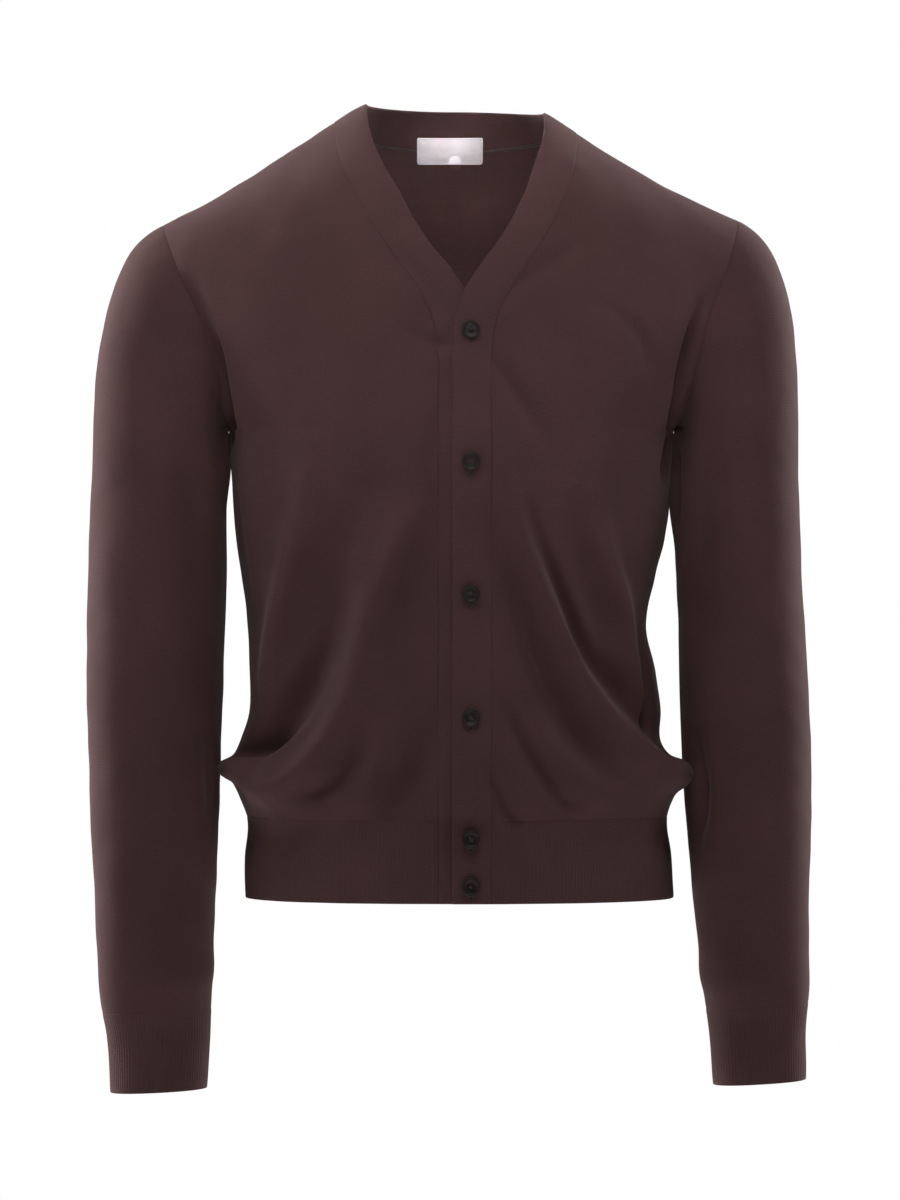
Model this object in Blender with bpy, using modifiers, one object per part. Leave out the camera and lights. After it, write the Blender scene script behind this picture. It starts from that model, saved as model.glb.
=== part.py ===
"""A men's V-neck knit cardigan, buttoned up and filled out as if it were worn.

The cloth is the main form. Every panel is a thin wall between two lofted skins, read from one
smooth surface: the torso is a stack of rings from the hem to the shoulder seams, and each
sleeve is a tube from its armhole to its cuff. Panels meet along shared seam lines with a
narrow gap. Lengths are in millimetres until a mesh is made.

Frame: +Z up, the front faces -Y, +X is to the right as seen from the front. The origin is at
the neck, level with the two points where the shoulder seams meet the neckline.
"""

import math

import bpy
import numpy as np
from mathutils import Vector

MM = 0.001

# --- Driving dimensions -------------------------------------------------------------------
WALL = 1.8  # one layer of fine knit, with its loft
BAND_WALL = 2.4  # the front bands and neckband are knitted double
BAND_PROUD = 0.4  # how far a band's face stands above its panel
SEAM_GAP = 0.3  # between two pieces that are sewn together
LAP_LIFT = 3.1  # how far the upper front rides over the lower one at the buttons
LAP_FADE = 42.0  # the lift dies out over this width of the upper front
LAP_TOP = (-96.0, -130.0)  # heights between which the two fronts come to overlap

HEM = -613.5
RIB_TOP = -550.0
ARMPIT = -250.0
NECK_HALF = 69.0  # side neck point to the middle
RING_POWER = 2.4  # 2 would be an ellipse; more is squarer
SLOPE_SOFT = 0.08  # how softly the shoulder's slope begins beside the neck
SHOULDER_LIFT = (4.0, 8.0)  # how much higher the left and right shoulder's end lies than the yoke's
SHOULDER_SAG = (4.0, 9.0)  # how far each shoulder seam sags between the neck and its end
SHOULDER_FADE = 0.4  # both die out between the shoulder seam and this level
NECK_TILT = 3.0  # the left side neck point lies this much higher, and the right one lower

BUTTON_DIAMETER = 14.5
BUTTON_HEIGHTS = (-177.0, -277.0, -377.0, -472.0, -564.0, -600.0)
BUTTON_X = 11.8
BUTTON_TURNS = 16
BUTTON_PROFILE = (
    # share of the radius, height above the seat
    (0.0, 1.5),
    (0.62, 1.5),
    (0.74, 2.5),
    (0.88, 2.6),
    (1.0, 1.7),
    (0.94, 0.6),
    (0.70, 0.0),
    (0.0, 0.0),
)
LABEL_SIZE = (52.0, 20.0)
LABEL_THICKNESS = 0.6
LABEL_CLEAR = 0.4
LABEL_MIDDLE = (-4.0, -25.8)  # x and height, on the inside of the back neck
LABEL_ROWS = 5
LABEL_COLUMNS = 9

# Finishes: linear base colours, and roughness.
KNIT_BROWN = (0.060, 0.030, 0.028)
RIB_BROWN = (0.064, 0.033, 0.031)
BUTTON_BROWN = (0.022, 0.010, 0.008)
LABEL_WHITE = (0.62, 0.58, 0.60)
CLOTH_ROUGHNESS = 0.85
BUTTON_ROUGHNESS = 0.35
LABEL_ROUGHNESS = 0.6
SHARP_ANGLE = 50.0  # edges bent by more than this are shaded sharp

# --- Sections of the torso ----------------------------------------------------------------
# Each row is a level ring: how far the cloth reaches to the left, right, front and back.
BODY = (
    # height, left, right, front, back
    (-612, 163, 170, 118, 94),
    (-581, 163, 169, 120, 95),
    (-550, 162, 166, 122, 97),
    (-534, 169, 170.5, 129, 104),
    (-515, 176, 173.5, 129, 106),
    (-491, 167, 160, 126, 102),
    (-470, 161, 160, 123, 96),
    (-440, 161, 157, 121, 90),
    (-400, 162, 149, 120, 85),
    (-365, 166, 155, 121, 86),
    (-335, 171, 163, 125, 93),
    (-300, 174, 168, 128.5, 99),
    (-250, 176, 170, 129, 104),
)
MIDDLE = 5.0  # the side seams lie this far behind the origin, up to the armpits

# Above the armpits a ring slopes down from the neck to the armhole's edge. The edge lies on
# the ring where its share of the ring's depth is the number given.
YOKE = (
    # height, front, back, left edge, right edge, edge height, front share, back share
    (-250, 129, 104, 176, 170, -250, 0.000, 0.000),
    (-240, 129, 105, 178, 172, -247, 0.115, 0.140),
    (-225, 128, 106, 181, 175, -240, 0.230, 0.287),
    (-203, 127, 108, 184, 179, -228, 0.339, 0.413),
    (-175, 123, 109, 188, 184, -210, 0.432, 0.509),
    (-142, 116, 109, 195, 191, -185, 0.509, 0.569),
    (-108, 106, 104, 203, 199, -158, 0.553, 0.590),
    (-76, 92, 95, 212, 208, -134, 0.578, 0.583),
    (-46, 75, 80, 219, 214, -116, 0.581, 0.575),
    (-21, 54, 58, 224, 218, -104, 0.574, 0.569),
    (-1, 28, 30, 227, 220, -97, 0.567, 0.565),
    (6.5, 0, 0, 228, 221, -94, 0.560, 0.560),
)
YOKE_STEPS = len(YOKE) - 1
HALVINGS = 18  # how far a search is narrowed
SETTLES = 50  # steps that bring a ring's end onto a slanting line
TORSO_NUDGE = (0.4, 0.004)  # steps of turn and level from which a direction is read
SLEEVE_NUDGE = (1.0, 0.01)  # the same on a sleeve, in turn and drop

# The neckline and the front edges, by height. A seam joins each band to its front.
NECKLINE = (
    # height, under edge, under seam, over edge, over seam
    (-612, 17, -12.5, -2.3, 27),
    (-200, 17, -12.5, -2.3, 27),
    (-180, 16.5, -14, -1.8, 28.5),
    (-162, 14, -19, 1.5, 33.5),
    (-145, 7.5, -27, 7.5, 42.5),
    (-128, -4, -39.5, 18.5, 53),
    (-113, -17, -51, 29.5, 63),
    (-90, -32, -66, 43.5, 76.5),
    (-68, -43, -77, 54, 86),
    (-46, -56, -87.5, 61, 92),
    (-28, -63.5, -92, 67, 94.5),
    (-15, -67, -94, 69, 95),
    (0, -69, -94, 69, 95),
)
BACK_NECK_SEAM = (-27.0, 14.0, 2.2)  # middle height, rise to the shoulder, power of the curve
NECKBAND_TOP = (3.2, 55.0)  # height and distance behind, at the middle of the back

# --- Sections of the sleeves --------------------------------------------------------------
# Each row is a ring below the armhole, as seen from the front: its outer and inner edge. The
# slant is how steeply a ring rises towards +X.
SLEEVE_LEFT = (
    # height, outer, inner, middle, half depth, slant
    (-289, -283.0, -177.0, -6, 57, 0.00),
    (-335, -285.0, -177.5, -7, 58, 0.00),
    (-382, -286.5, -178.0, -8, 57, 0.00),
    (-429, -286.5, -180.0, -10, 55, 0.00),
    (-476, -286.0, -181.5, -12, 53, 0.00),
    (-538, -283.5, -182.8, -14, 49, 0.01),
    (-601, -280.5, -186.0, -16, 45, 0.02),
    (-648, -278.5, -187.5, -18, 41, 0.04),
    (-700, -274.0, -189.5, -19, 36, 0.05),
    (-712, -271.5, -190.0, -19, 33, 0.05),
    (-762.5, -268.5, -192.5, -20, 31, 0.05),
)
SLEEVE_RIGHT = (
    (-289, 267.5, 169.5, -6, 57, 0.00),
    (-335, 269.5, 171.0, -7, 58, 0.00),
    (-382, 271.5, 173.0, -8, 57, 0.00),
    (-429, 274.0, 174.0, -10, 55, 0.00),
    (-476, 276.0, 175.0, -12, 53, 0.00),
    (-538, 276.5, 177.8, -14, 49, 0.01),
    (-601, 275.5, 183.7, -16, 45, 0.02),
    (-648, 275.0, 188.5, -18, 41, 0.04),
    (-696, 274.5, 194.5, -19, 36, 0.06),
    (-706, 273.5, 196.0, -19, 33, 0.06),
    (-756, 272.0, 200.5, -20, 31, 0.06),
)
SLEEVE_POWER = 2.15
CUFF_ROW = 8  # the row where the sleeve's cloth ends and its cuff begins
CAP_LEAN = (25.0, 74.0)  # how steeply a sleeve leaves the armhole, at the shoulder and the armpit
CAP_PULL = (0.90, 0.88)  # how strongly the cap keeps its direction at the top and the bottom
CAP_STILL = -0.8  # folds die out between this drop and the armhole
CAP_SAMPLES = 60  # places at which a fold's height is looked up on the cap

# --- Main folds ---------------------------------------------------------------------------
# A fold follows its points. The rise is outwards, or inwards where negative, and the spread
# is its half width. Fronts and back give x and height as seen from the front.
FRONT_FOLDS = {
    "left drag ridge": (
        # x, height, rise, spread
        (-25, -238, 0, 20),
        (-42, -292, 3, 22),
        (-60, -345, 6, 23),
        (-75, -388, 8, 24),
        (-90, -425, 10, 24),
        (-112, -468, 12, 24),
        (-138, -498, 12, 22),
        (-160, -508, 8, 18),
    ),
    "left drag trough": (
        (-84, -315, 0, 20),
        (-104, -375, -6, 21),
        (-117, -418, -10, 21),
        (-134, -450, -10, 20),
        (-150, -476, -5, 17),
        (-158, -490, 0, 15),
    ),
    "left inner trough": (
        (-14, -262, 0, 18),
        (-34, -340, -4, 21),
        (-46, -395, -6, 23),
        (-64, -440, -6, 23),
        (-88, -484, -4, 19),
        (-108, -508, 0, 16),
    ),
    "left side ridge": (
        (-125, -290, 0, 16),
        (-133, -345, 4, 17),
        (-144, -390, 4, 16),
        (-152, -425, 0, 14),
    ),
    "left pouch trough": (
        (-10, -466, 0, 18),
        (-33, -496, -5, 20),
        (-51, -524, -5, 18),
        (-70, -540, 0, 14),
    ),
    "left hip nub": (
        (-152, -506, 0, 15),
        (-166, -510, 6, 14),
        (-174, -512, 7, 13),
        (-178, -512, 0, 13),
    ),
    "right drag ridge": (
        (36, -262, 0, 20),
        (52, -315, 4, 22),
        (70, -362, 7, 23),
        (88, -405, 9, 23),
        (106, -446, 11, 22),
        (124, -472, 12, 22),
        (150, -497, 11, 20),
        (166, -512, 8, 17),
    ),
    "right drag crease": (
        (62, -318, 0, 15),
        (86, -358, -5, 16),
        (107, -396, -9, 17),
        (126, -428, -10, 17),
        (143, -456, -7, 16),
        (155, -480, 0, 14),
    ),
    "right inner trough": (
        (38, -342, 0, 18),
        (50, -382, -4, 20),
        (62, -425, -6, 21),
        (77, -460, -6, 21),
        (102, -492, -4, 18),
        (128, -514, 0, 15),
    ),
    "right pouch trough": (
        (36, -462, 0, 16),
        (52, -488, -4, 17),
        (70, -512, -5, 17),
        (90, -536, 0, 14),
    ),
    "right side ridge": (
        (120, -312, 0, 16),
        (134, -348, 4, 16),
        (142, -380, 3, 14),
        (144, -398, 0, 12),
    ),
    "right hip nub": (
        (150, -510, 0, 16),
        (164, -514, 4, 15),
        (170, -516, 4, 14),
        (173, -516, 0, 14),
    ),
    "left armhole hollow": (
        (-198, -165, 0, 15),
        (-180, -212, -4, 17),
        (-169, -248, -3, 16),
        (-163, -278, 0, 14),
    ),
    "right armhole hollow": (
        (122, -158, 0, 15),
        (150, -178, -3, 17),
        (160, -214, -5, 17),
        (162, -262, -3, 16),
        (158, -300, 0, 14),
    ),
}
BACK_FOLDS = {
    "left blade hollow": (
        (-70, -150, 0, 24),
        (-112, -200, -4, 26),
        (-140, -262, -4, 22),
        (-152, -300, 0, 18),
    ),
    "right blade hollow": (
        (84, -158, 0, 24),
        (118, -212, -4, 26),
        (138, -270, -3, 22),
        (146, -305, 0, 18),
    ),
    "left back drag ridge": (
        (-40, -318, 0, 20),
        (-66, -372, 4, 23),
        (-94, -432, 7, 24),
        (-124, -478, 8, 22),
        (-152, -502, 5, 18),
    ),
    "left back trough": (
        (-90, -330, 0, 20),
        (-114, -395, -5, 22),
        (-138, -442, -6, 20),
        (-150, -468, 0, 16),
    ),
    "right back drag ridge": (
        (30, -340, 0, 20),
        (58, -398, 4, 23),
        (90, -446, 7, 24),
        (122, -484, 8, 22),
        (152, -506, 5, 18),
    ),
    "right back trough": (
        (82, -338, 0, 20),
        (108, -398, -5, 21),
        (130, -438, -6, 20),
        (144, -466, 0, 16),
    ),
    "back pouch trough": (
        (-56, -490, 0, 18),
        (-14, -516, -5, 20),
        (34, -510, -4, 20),
        (70, -490, 0, 16),
    ),
    "small of back ridge": (
        (-44, -432, 0, 18),
        (-8, -450, 3, 20),
        (38, -438, 0, 18),
    ),
}
# On a sleeve the first number is the turn in degrees: 0 is the outer line, 90 the front, 180
# the inner line and 270 the back.
SLEEVE_FOLDS = {
    "underarm crease": (
        # turn, height, rise, spread
        (112, -236, 0, 12),
        (132, -290, -4, 14),
        (140, -350, -4, 13),
        (146, -400, 0, 11),
    ),
    "elbow fold": (
        (206, -470, 0, 11),
        (240, -486, -3, 12),
        (286, -482, -2.5, 12),
        (322, -470, 0, 11),
    ),
    "lower elbow fold": (
        (214, -530, 0, 11),
        (254, -541, -3, 12),
        (302, -534, 0, 11),
    ),
    "back arm crease": (
        (292, -310, 0, 14),
        (270, -372, -3, 15),
        (254, -430, 0, 13),
    ),
    "cuff blouse": (
        (60, -668, 0, 12),
        (110, -678, 3, 12),
        (170, -672, 2, 12),
        (220, -664, 0, 12),
    ),
}

# --- How finely each piece is faceted -----------------------------------------------------
BODY_STEPS = 20  # rings between the rib and the armpits
RIB_STEPS = 3
FRONT_COLUMNS = 14
BACK_HALF_COLUMNS = 12
NECK_COLUMNS = 6  # columns of half the back that end at the neck seam
BAND_COLUMNS = 3
CAP_STEPS = 7
SLEEVE_STEPS = 15
CUFF_STEPS = 3


# --- Curves through the tables ------------------------------------------------------------
def smooth_through(xs, ys, at, level_end=False):
    """A smooth curve through the points (xs, ys), read at the given places. It may end level."""
    xs = np.asarray(xs, float)
    ys = np.asarray(ys, float)
    slopes = np.gradient(ys, xs)
    if level_end:
        slopes[-1] = 0
    at = np.clip(at, xs[0], xs[-1])
    low = np.clip(np.searchsorted(xs, at, side="right") - 1, 0, len(xs) - 2)
    span = xs[low + 1] - xs[low]
    t = (at - xs[low]) / span
    start = (1 + 2 * t) * (1 - t) ** 2
    end = t * t * (3 - 2 * t)
    leave = t * (1 - t) ** 2
    arrive = t * t * (t - 1)
    bow = span * (leave * slopes[low] + arrive * slopes[low + 1])
    return start * ys[low] + end * ys[low + 1] + bow


def column(table, index):
    return np.array([row[index] for row in table], float)


def ease(low, high, value):
    """0 up to low, 1 from high on, smooth between."""
    t = np.clip((np.asarray(value, float) - low) / (high - low), 0, 1)
    return t * t * (3 - 2 * t)


def unit(vectors):
    return vectors / np.maximum(np.linalg.norm(vectors, axis=-1, keepdims=True), 1e-12)


# --- The torso's surface ------------------------------------------------------------------
def ring_point(turn, left, right, front, back, middle):
    """A point of a ring. Turn is in degrees: 0 is the front, 90 the right side, 180 the back."""
    turn = np.radians(turn)
    sine = np.sin(turn)
    cosine = np.cos(turn)
    reach = np.where(sine < 0, left, right)
    depth = np.where(cosine > 0, front, back)
    x = np.sign(sine) * reach * np.abs(sine) ** (2 / RING_POWER)
    y = middle - np.sign(cosine) * depth * np.abs(cosine) ** (2 / RING_POWER)
    return x, y


def yoke_share(turn, row):
    return np.where(
        np.cos(np.radians(turn)) > 0,
        smooth_through(range(len(YOKE)), column(YOKE, 6), row),
        smooth_through(range(len(YOKE)), column(YOKE, 7), row),
    )


def slope_part(ratio):
    """How much of the way from the neck to the shoulder's end a ring has sloped, softly begun."""
    start = NECK_HALF / YOKE[-1][3]
    past = (ratio - start) / (1 - start)
    full = (1 + math.sqrt(1 + SLOPE_SOFT**2)) / 2
    return (past + np.sqrt(past * past + SLOPE_SOFT**2)) / 2 / full


def torso_form(turn, level):
    """The torso without folds. Level is -1 at the hem, 0 at the armpits and 1 at the shoulders."""
    turn, level = np.broadcast_arrays(np.asarray(turn, float), np.asarray(level, float))
    height = ARMPIT + np.minimum(level, 0) * (ARMPIT - HEM)
    heights = column(BODY, 0)
    left, right, front, back = (smooth_through(heights, column(BODY, k), height) for k in (1, 2, 3, 4))
    low_x, low_y = ring_point(turn, left, right, front, back, MIDDLE)

    row = np.clip(level, 0, 1) * YOKE_STEPS
    rows = range(len(YOKE))
    front, back = (smooth_through(rows, column(YOKE, k), row) for k in (1, 2))
    ring_height, left, right, edge_height = (
        smooth_through(rows, column(YOKE, k), row, level_end=True) for k in (0, 3, 4, 5)
    )
    share = yoke_share(turn, row)
    widen = (1 - share**RING_POWER) ** (-1 / RING_POWER)
    middle = MIDDLE * (1 - np.clip(level, 0, 1) ** 2)
    x, y = ring_point(turn, left * widen, right * widen, front, back, middle)
    on_left = np.sin(np.radians(turn)) < 0
    part = slope_part(np.abs(x) / np.where(on_left, left, right))
    lift, sag = (np.where(on_left, *pair) for pair in (SHOULDER_LIFT, SHOULDER_SAG))
    tilt = NECK_TILT * np.sin(np.pi / 2 * np.clip(x / NECK_HALF, -1, 1)) * (1 - part) ** 3
    shoulder = lift * part - sag * np.sin(np.pi * np.clip(part, 0, 1)) - tilt
    z = ring_height + (edge_height - ring_height) * part + ease(SHOULDER_FADE, 1, level) * shoulder
    upper = level > 0
    x = np.where(upper, x, low_x)
    y = np.where(upper, y, low_y)
    return np.stack([x, y, np.where(upper, z, height)], -1)


def turn_of_x(x, level, behind=False):
    """The turn at which the torso's ring passes over x."""
    side = np.sign(x)
    widest = 180 - 89.9999 * side if behind else 89.9999 * side
    reach = np.abs(torso_form(widest, level)[..., 0])
    away = side * np.degrees(np.arcsin(np.clip(np.abs(x) / reach, 0, 1) ** (RING_POWER / 2)))
    return 180 - away if behind else away


def armhole_turn(level, side, behind=False):
    """Where the armhole's edge lies on the ring at this level, and the side seam below it."""
    row = np.clip(level, 0, 1) * YOKE_STEPS
    share = smooth_through(range(len(YOKE)), column(YOKE, 7 if behind else 6), row)
    away = np.degrees(np.arccos(share ** (RING_POWER / 2)))
    return 180 - side * away if behind else side * away


def search(too_low, low, high):
    """The value between low and high at which too_low turns false, by halving, for arrays too."""
    low = np.array(low, float)
    high = np.array(high, float)
    for _ in range(HALVINGS):
        middle = (low + high) / 2
        below = too_low(middle)
        low = np.where(below, middle, low)
        high = np.where(below, high, middle)
    return (low + high) / 2


def level_at(x, height, behind=False):
    """The level whose ring passes through a point seen from the front."""
    if height <= ARMPIT:
        return (height - ARMPIT) / (ARMPIT - HEM)
    return search(lambda level: torso_form(turn_of_x(x, level, behind), level)[..., 2] < height, 0.0, 1.0)


# --- Folds --------------------------------------------------------------------------------
def fold_line(points, place):
    """A fold's points in space, with its rise and spread at each."""
    return [(place(a, b), rise, spread) for a, b, rise, spread in points]


def fold_rise(points, lines):
    """How far each point is moved outwards by the folds."""
    total = np.zeros(points.shape[:-1])
    for line in lines:
        nearest = np.full(points.shape[:-1], np.inf)
        rise = np.zeros(points.shape[:-1])
        for (a, rise_a, spread_a), (b, rise_b, spread_b) in zip(line, line[1:]):
            along = np.clip(((points - a) @ (b - a)) / ((b - a) @ (b - a)), 0, 1)
            away = np.linalg.norm(points - a - along[..., None] * (b - a), axis=-1)
            spread = spread_a + along * (spread_b - spread_a)
            here = (rise_a + along * (rise_b - rise_a)) * np.exp(-((away / spread) ** 2))
            closer = away < nearest
            rise = np.where(closer, here, rise)
            nearest = np.where(closer, away, nearest)
        total += rise
    return total


def torso_place(behind):
    def place(x, height):
        level = level_at(x, height, behind)
        return torso_form(turn_of_x(x, level, behind), level)

    return place


TORSO_LINES = [fold_line(points, torso_place(False)) for points in FRONT_FOLDS.values()] + [
    fold_line(points, torso_place(True)) for points in BACK_FOLDS.values()
]


def directions(surface, u, v, nudge, v_low, v_high):
    """Outward directions of a surface, from small steps along it."""
    across = surface(u + nudge[0], v) - surface(u - nudge[0], v)
    up = surface(u, np.minimum(v + nudge[1], v_high)) - surface(u, np.maximum(v - nudge[1], v_low))
    return unit(np.cross(across, up))


def torso_form_out(turn, level):
    return directions(torso_form, turn, level, TORSO_NUDGE, -1, 1)


def lap_lift(points):
    """The upper front's extra height over the lower one, near the buttons."""
    fade = 1 - ease(0, LAP_FADE, points[..., 0] - NECKLINE[0][4])
    return LAP_LIFT * fade * (1 - ease(LAP_TOP[1], LAP_TOP[0], points[..., 2]))


def torso(turn, level, over=False):
    """The torso's outer face with its folds, on the upper or the lower layer of the lap."""
    turn, level = np.broadcast_arrays(np.asarray(turn, float), np.asarray(level, float))
    form = torso_form(turn, level)
    rise = fold_rise(form, TORSO_LINES)
    if over:
        rise = rise + lap_lift(form)
    return form + rise[..., None] * torso_form_out(turn, level)


def torso_out(turn, level, over=False):
    """The torso's outward directions. On the shoulder seam they lean neither way."""
    out = directions(lambda u, v: torso(u, v, over), turn, level, TORSO_NUDGE, -1, 1)
    out[..., 1] *= np.asarray(level) < 1
    return unit(out)


# --- A sleeve's surface -------------------------------------------------------------------
def armhole_point(side, around):
    """A point of the armhole's edge, from the shoulder (0) by the front to the armpit (180)
    and back behind (360)."""
    around = np.mod(around, 360)
    behind = around > 180
    level = np.abs(around - 180) / 180
    turn = np.where(behind, armhole_turn(level, side, True), armhole_turn(level, side))
    return turn, level


def sleeve_ring(side, around, drop):
    """A ring of the lower sleeve. Drop is 0 at the first row and 1 at the cuff's edge."""
    table = SLEEVE_LEFT if side < 0 else SLEEVE_RIGHT
    at = np.clip(drop, 0, 1) * (table[0][0] - table[-1][0])
    along = table[0][0] - column(table, 0)
    height = table[0][0] - at
    numbers = (smooth_through(along, column(table, k), at) for k in range(1, 6))
    outer, inner, middle, half_depth, slant = numbers
    angle = np.radians(around)
    cosine = np.cos(angle)
    sine = np.sin(angle)
    sideways = np.sign(cosine) * np.abs(cosine) ** (2 / SLEEVE_POWER) * (outer - inner) / 2
    x = (outer + inner) / 2 + sideways
    y = middle - np.sign(sine) * np.abs(sine) ** (2 / SLEEVE_POWER) * half_depth
    return np.stack([x, y, height + slant * sideways], -1)


def sleeve_form(side):
    """The sleeve without folds, as a surface of turn and drop. Drop is -1 at the armhole."""

    def form(around, drop):
        around, drop = np.broadcast_arrays(np.asarray(around, float), np.asarray(drop, float))
        start = torso(*armhole_point(side, around))
        end = sleeve_ring(side, around, 0 * drop)
        reach = np.linalg.norm(end - start, axis=-1, keepdims=True)
        low_share = (1 - np.cos(np.radians(around))) / 2
        lean = np.radians(CAP_LEAN[0] + (CAP_LEAN[1] - CAP_LEAN[0]) * low_share)
        leave = np.stack([side * np.cos(lean), 0 * lean, -np.sin(lean)], -1) * reach * CAP_PULL[0]
        arrive = unit(sleeve_ring(side, around, 0 * drop + 0.01) - end) * reach * CAP_PULL[1]
        t = np.clip(drop + 1, 0, 1)[..., None]
        cap = (1 + 2 * t) * (1 - t) ** 2 * start + t * t * (3 - 2 * t) * end
        cap = cap + t * (1 - t) ** 2 * leave + t * t * (t - 1) * arrive
        return np.where((drop < 0)[..., None], cap, sleeve_ring(side, around, drop))

    return form


def sleeve(side):
    """The sleeve's outer face with its folds."""
    form = sleeve_form(side)

    def place(around, height):
        table = SLEEVE_LEFT if side < 0 else SLEEVE_RIGHT
        if height <= table[0][0]:
            return form(around, (table[0][0] - height) / (table[0][0] - table[-1][0]))
        drops = np.linspace(-1, 0, CAP_SAMPLES)
        line = form(around, drops)
        return line[np.argmin(np.abs(line[:, 2] - height))]

    lines = [fold_line(points, place) for points in SLEEVE_FOLDS.values()]

    def surface(around, drop):
        around, drop = np.broadcast_arrays(np.asarray(around, float), np.asarray(drop, float))
        base = form(around, drop)
        out = side * directions(form, around, drop, SLEEVE_NUDGE, -1, 1)
        settle = ease(-1, CAP_STILL, drop)
        return base + (fold_rise(base, lines) * settle)[..., None] * out

    return surface


def sleeve_out(side, surface, around, drop):
    return side * directions(surface, around, drop, SLEEVE_NUDGE, -1, 1)


# --- Walls --------------------------------------------------------------------------------
def draw_in(face, out, edges, tube=False):
    """Moves a grid's edges half a seam gap back from the seam, along the cloth."""
    moved = face.copy()
    everything = slice(None)
    picks = {
        "first row": ((0, everything), (1, everything)),
        "last row": ((-1, everything), (-2, everything)),
        "first column": ((everything, 0), (everything, 1)),
        "last column": ((everything, -1), (everything, -2)),
    }
    for edge in edges:
        border, inside = picks[edge]
        line = face[border]
        along = np.roll(line, -1, axis=0) - np.roll(line, 1, axis=0) if tube else np.gradient(line, axis=0)
        inward = unit(np.cross(out[border], along))
        inward *= np.sign(np.sum(inward * (face[inside] - line), axis=-1, keepdims=True))
        moved[border] += inward * SEAM_GAP / 2
    return moved


def wall(name, outer, out, thickness, colour, roughness, tube=False):
    """A closed wall between an outer grid of points and the same grid moved inwards."""
    inner = outer - out * thickness
    rows, cols = outer.shape[:2]
    points = np.concatenate([outer.reshape(-1, 3), inner.reshape(-1, 3)]) * MM
    anchor = Vector(np.round(points.mean(axis=0), 3))

    def index(layer, row, col):
        return layer * rows * cols + row * cols + col % cols

    faces = []
    for row in range(rows - 1):
        for col in range(cols if tube else cols - 1):
            corners = ((row, col), (row, col + 1), (row + 1, col + 1), (row + 1, col))
            faces.append([index(0, *corner) for corner in corners])
            faces.append([index(1, *corner) for corner in corners[::-1]])
    for col in range(cols if tube else cols - 1):
        for row, flip in ((0, False), (rows - 1, True)):
            after = col + 1
            rim = [index(0, row, col), index(1, row, col), index(1, row, after), index(0, row, after)]
            faces.append(rim[::-1] if flip else rim)
    if not tube:
        for row in range(rows - 1):
            for col, flip in ((0, True), (cols - 1, False)):
                after = row + 1
                rim = [index(0, row, col), index(1, row, col), index(1, after, col), index(0, after, col)]
                faces.append(rim[::-1] if flip else rim)
    mesh = bpy.data.meshes.new(name)
    mesh.from_pydata([tuple(Vector(p) - anchor) for p in points], [], faces)
    mesh.validate()
    mesh.update()
    if signed_volume(mesh) < 0:
        mesh.flip_normals()
    mesh.shade_smooth()
    mesh.set_sharp_from_angle(angle=math.radians(SHARP_ANGLE))
    return place_object(name, mesh, anchor, colour, roughness)


def signed_volume(mesh):
    total = 0.0
    mesh.calc_loop_triangles()
    for triangle in mesh.loop_triangles:
        a, b, c = (mesh.vertices[i].co for i in triangle.vertices)
        total += a.dot(b.cross(c))
    return total / 6


def finish(name, colour, roughness):
    material = bpy.data.materials.new(name + "_finish")
    material.use_nodes = True
    shader = material.node_tree.nodes["Principled BSDF"]
    shader.inputs["Base Color"].default_value = (*colour, 1)
    shader.inputs["Roughness"].default_value = roughness
    shader.inputs["Metallic"].default_value = 0.0
    return material


def place_object(name, mesh, anchor, colour, roughness):
    thing = bpy.data.objects.new(name, mesh)
    thing.location = anchor
    thing.parent = ROOT
    COLLECTION.objects.link(thing)
    mesh.materials.append(finish(name, colour, roughness))
    return thing


# --- The panels ---------------------------------------------------------------------------
def body_levels():
    """The levels of the rings from the rib to the shoulder seam."""
    rib = level_at(0, RIB_TOP)
    yoke = np.arange(1, YOKE_STEPS + 1) / YOKE_STEPS
    return np.concatenate([np.linspace(rib, 0, BODY_STEPS + 1), yoke])


def rib_levels():
    return np.linspace(-1, level_at(0, RIB_TOP), RIB_STEPS + 1)


def band_levels():
    return np.concatenate([rib_levels()[:-1], body_levels()])


def line_turn(level, index):
    """The turn at which each ring meets a line of the neckline table."""
    heights = column(NECKLINE, 0)
    xs = column(NECKLINE, index)
    x = np.full(len(level), xs[0])
    for _ in range(SETTLES):
        met = torso_form(turn_of_x(x, level), level)[:, 2]
        x += 0.5 * (np.interp(met, heights, xs) - x)
    return turn_of_x(x, level)


def spread_turns(start, end, columns):
    return start[:, None] + (end - start)[:, None] * np.linspace(0, 1, columns + 1)


def seam_out(side, level, behind):
    """The direction in which the seam allowance points along the armhole, shared by both pieces."""
    around = 180 + 180 * level if behind else 180 - 180 * level
    body = torso_out(armhole_turn(level, side, behind), level)
    arm = sleeve_out(side, SLEEVES[side], around, 0 * level - 1)
    return unit(body + arm)


def front_panel(name, side, seam_index):
    """A front and its hem rib, from the band's seam to the side seam and the armhole."""
    level = body_levels()
    turns = spread_turns(line_turn(level, seam_index), armhole_turn(level, side), FRONT_COLUMNS)
    grid = np.broadcast_to(level[:, None], turns.shape)
    over = side > 0
    face = torso(turns, grid, over)
    out = torso_out(turns, grid, over)
    yoke = level >= 0
    out[yoke, -1] = seam_out(side, level[yoke], False)
    face = draw_in(face, out, ("first row", "last row", "first column", "last column"))
    wall(name, face, out, WALL, KNIT_BROWN, CLOTH_ROUGHNESS)

    level = rib_levels()
    turns = spread_turns(line_turn(level, seam_index), armhole_turn(level, side), FRONT_COLUMNS)
    grid = np.broadcast_to(level[:, None], turns.shape)
    face = torso(turns, grid, over)
    out = torso_out(turns, grid, over)
    face = draw_in(face, out, ("last row", "first column", "last column"))
    wall("hem_rib_" + name.split("_")[0], face, out, WALL, RIB_BROWN, CLOTH_ROUGHNESS)


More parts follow.
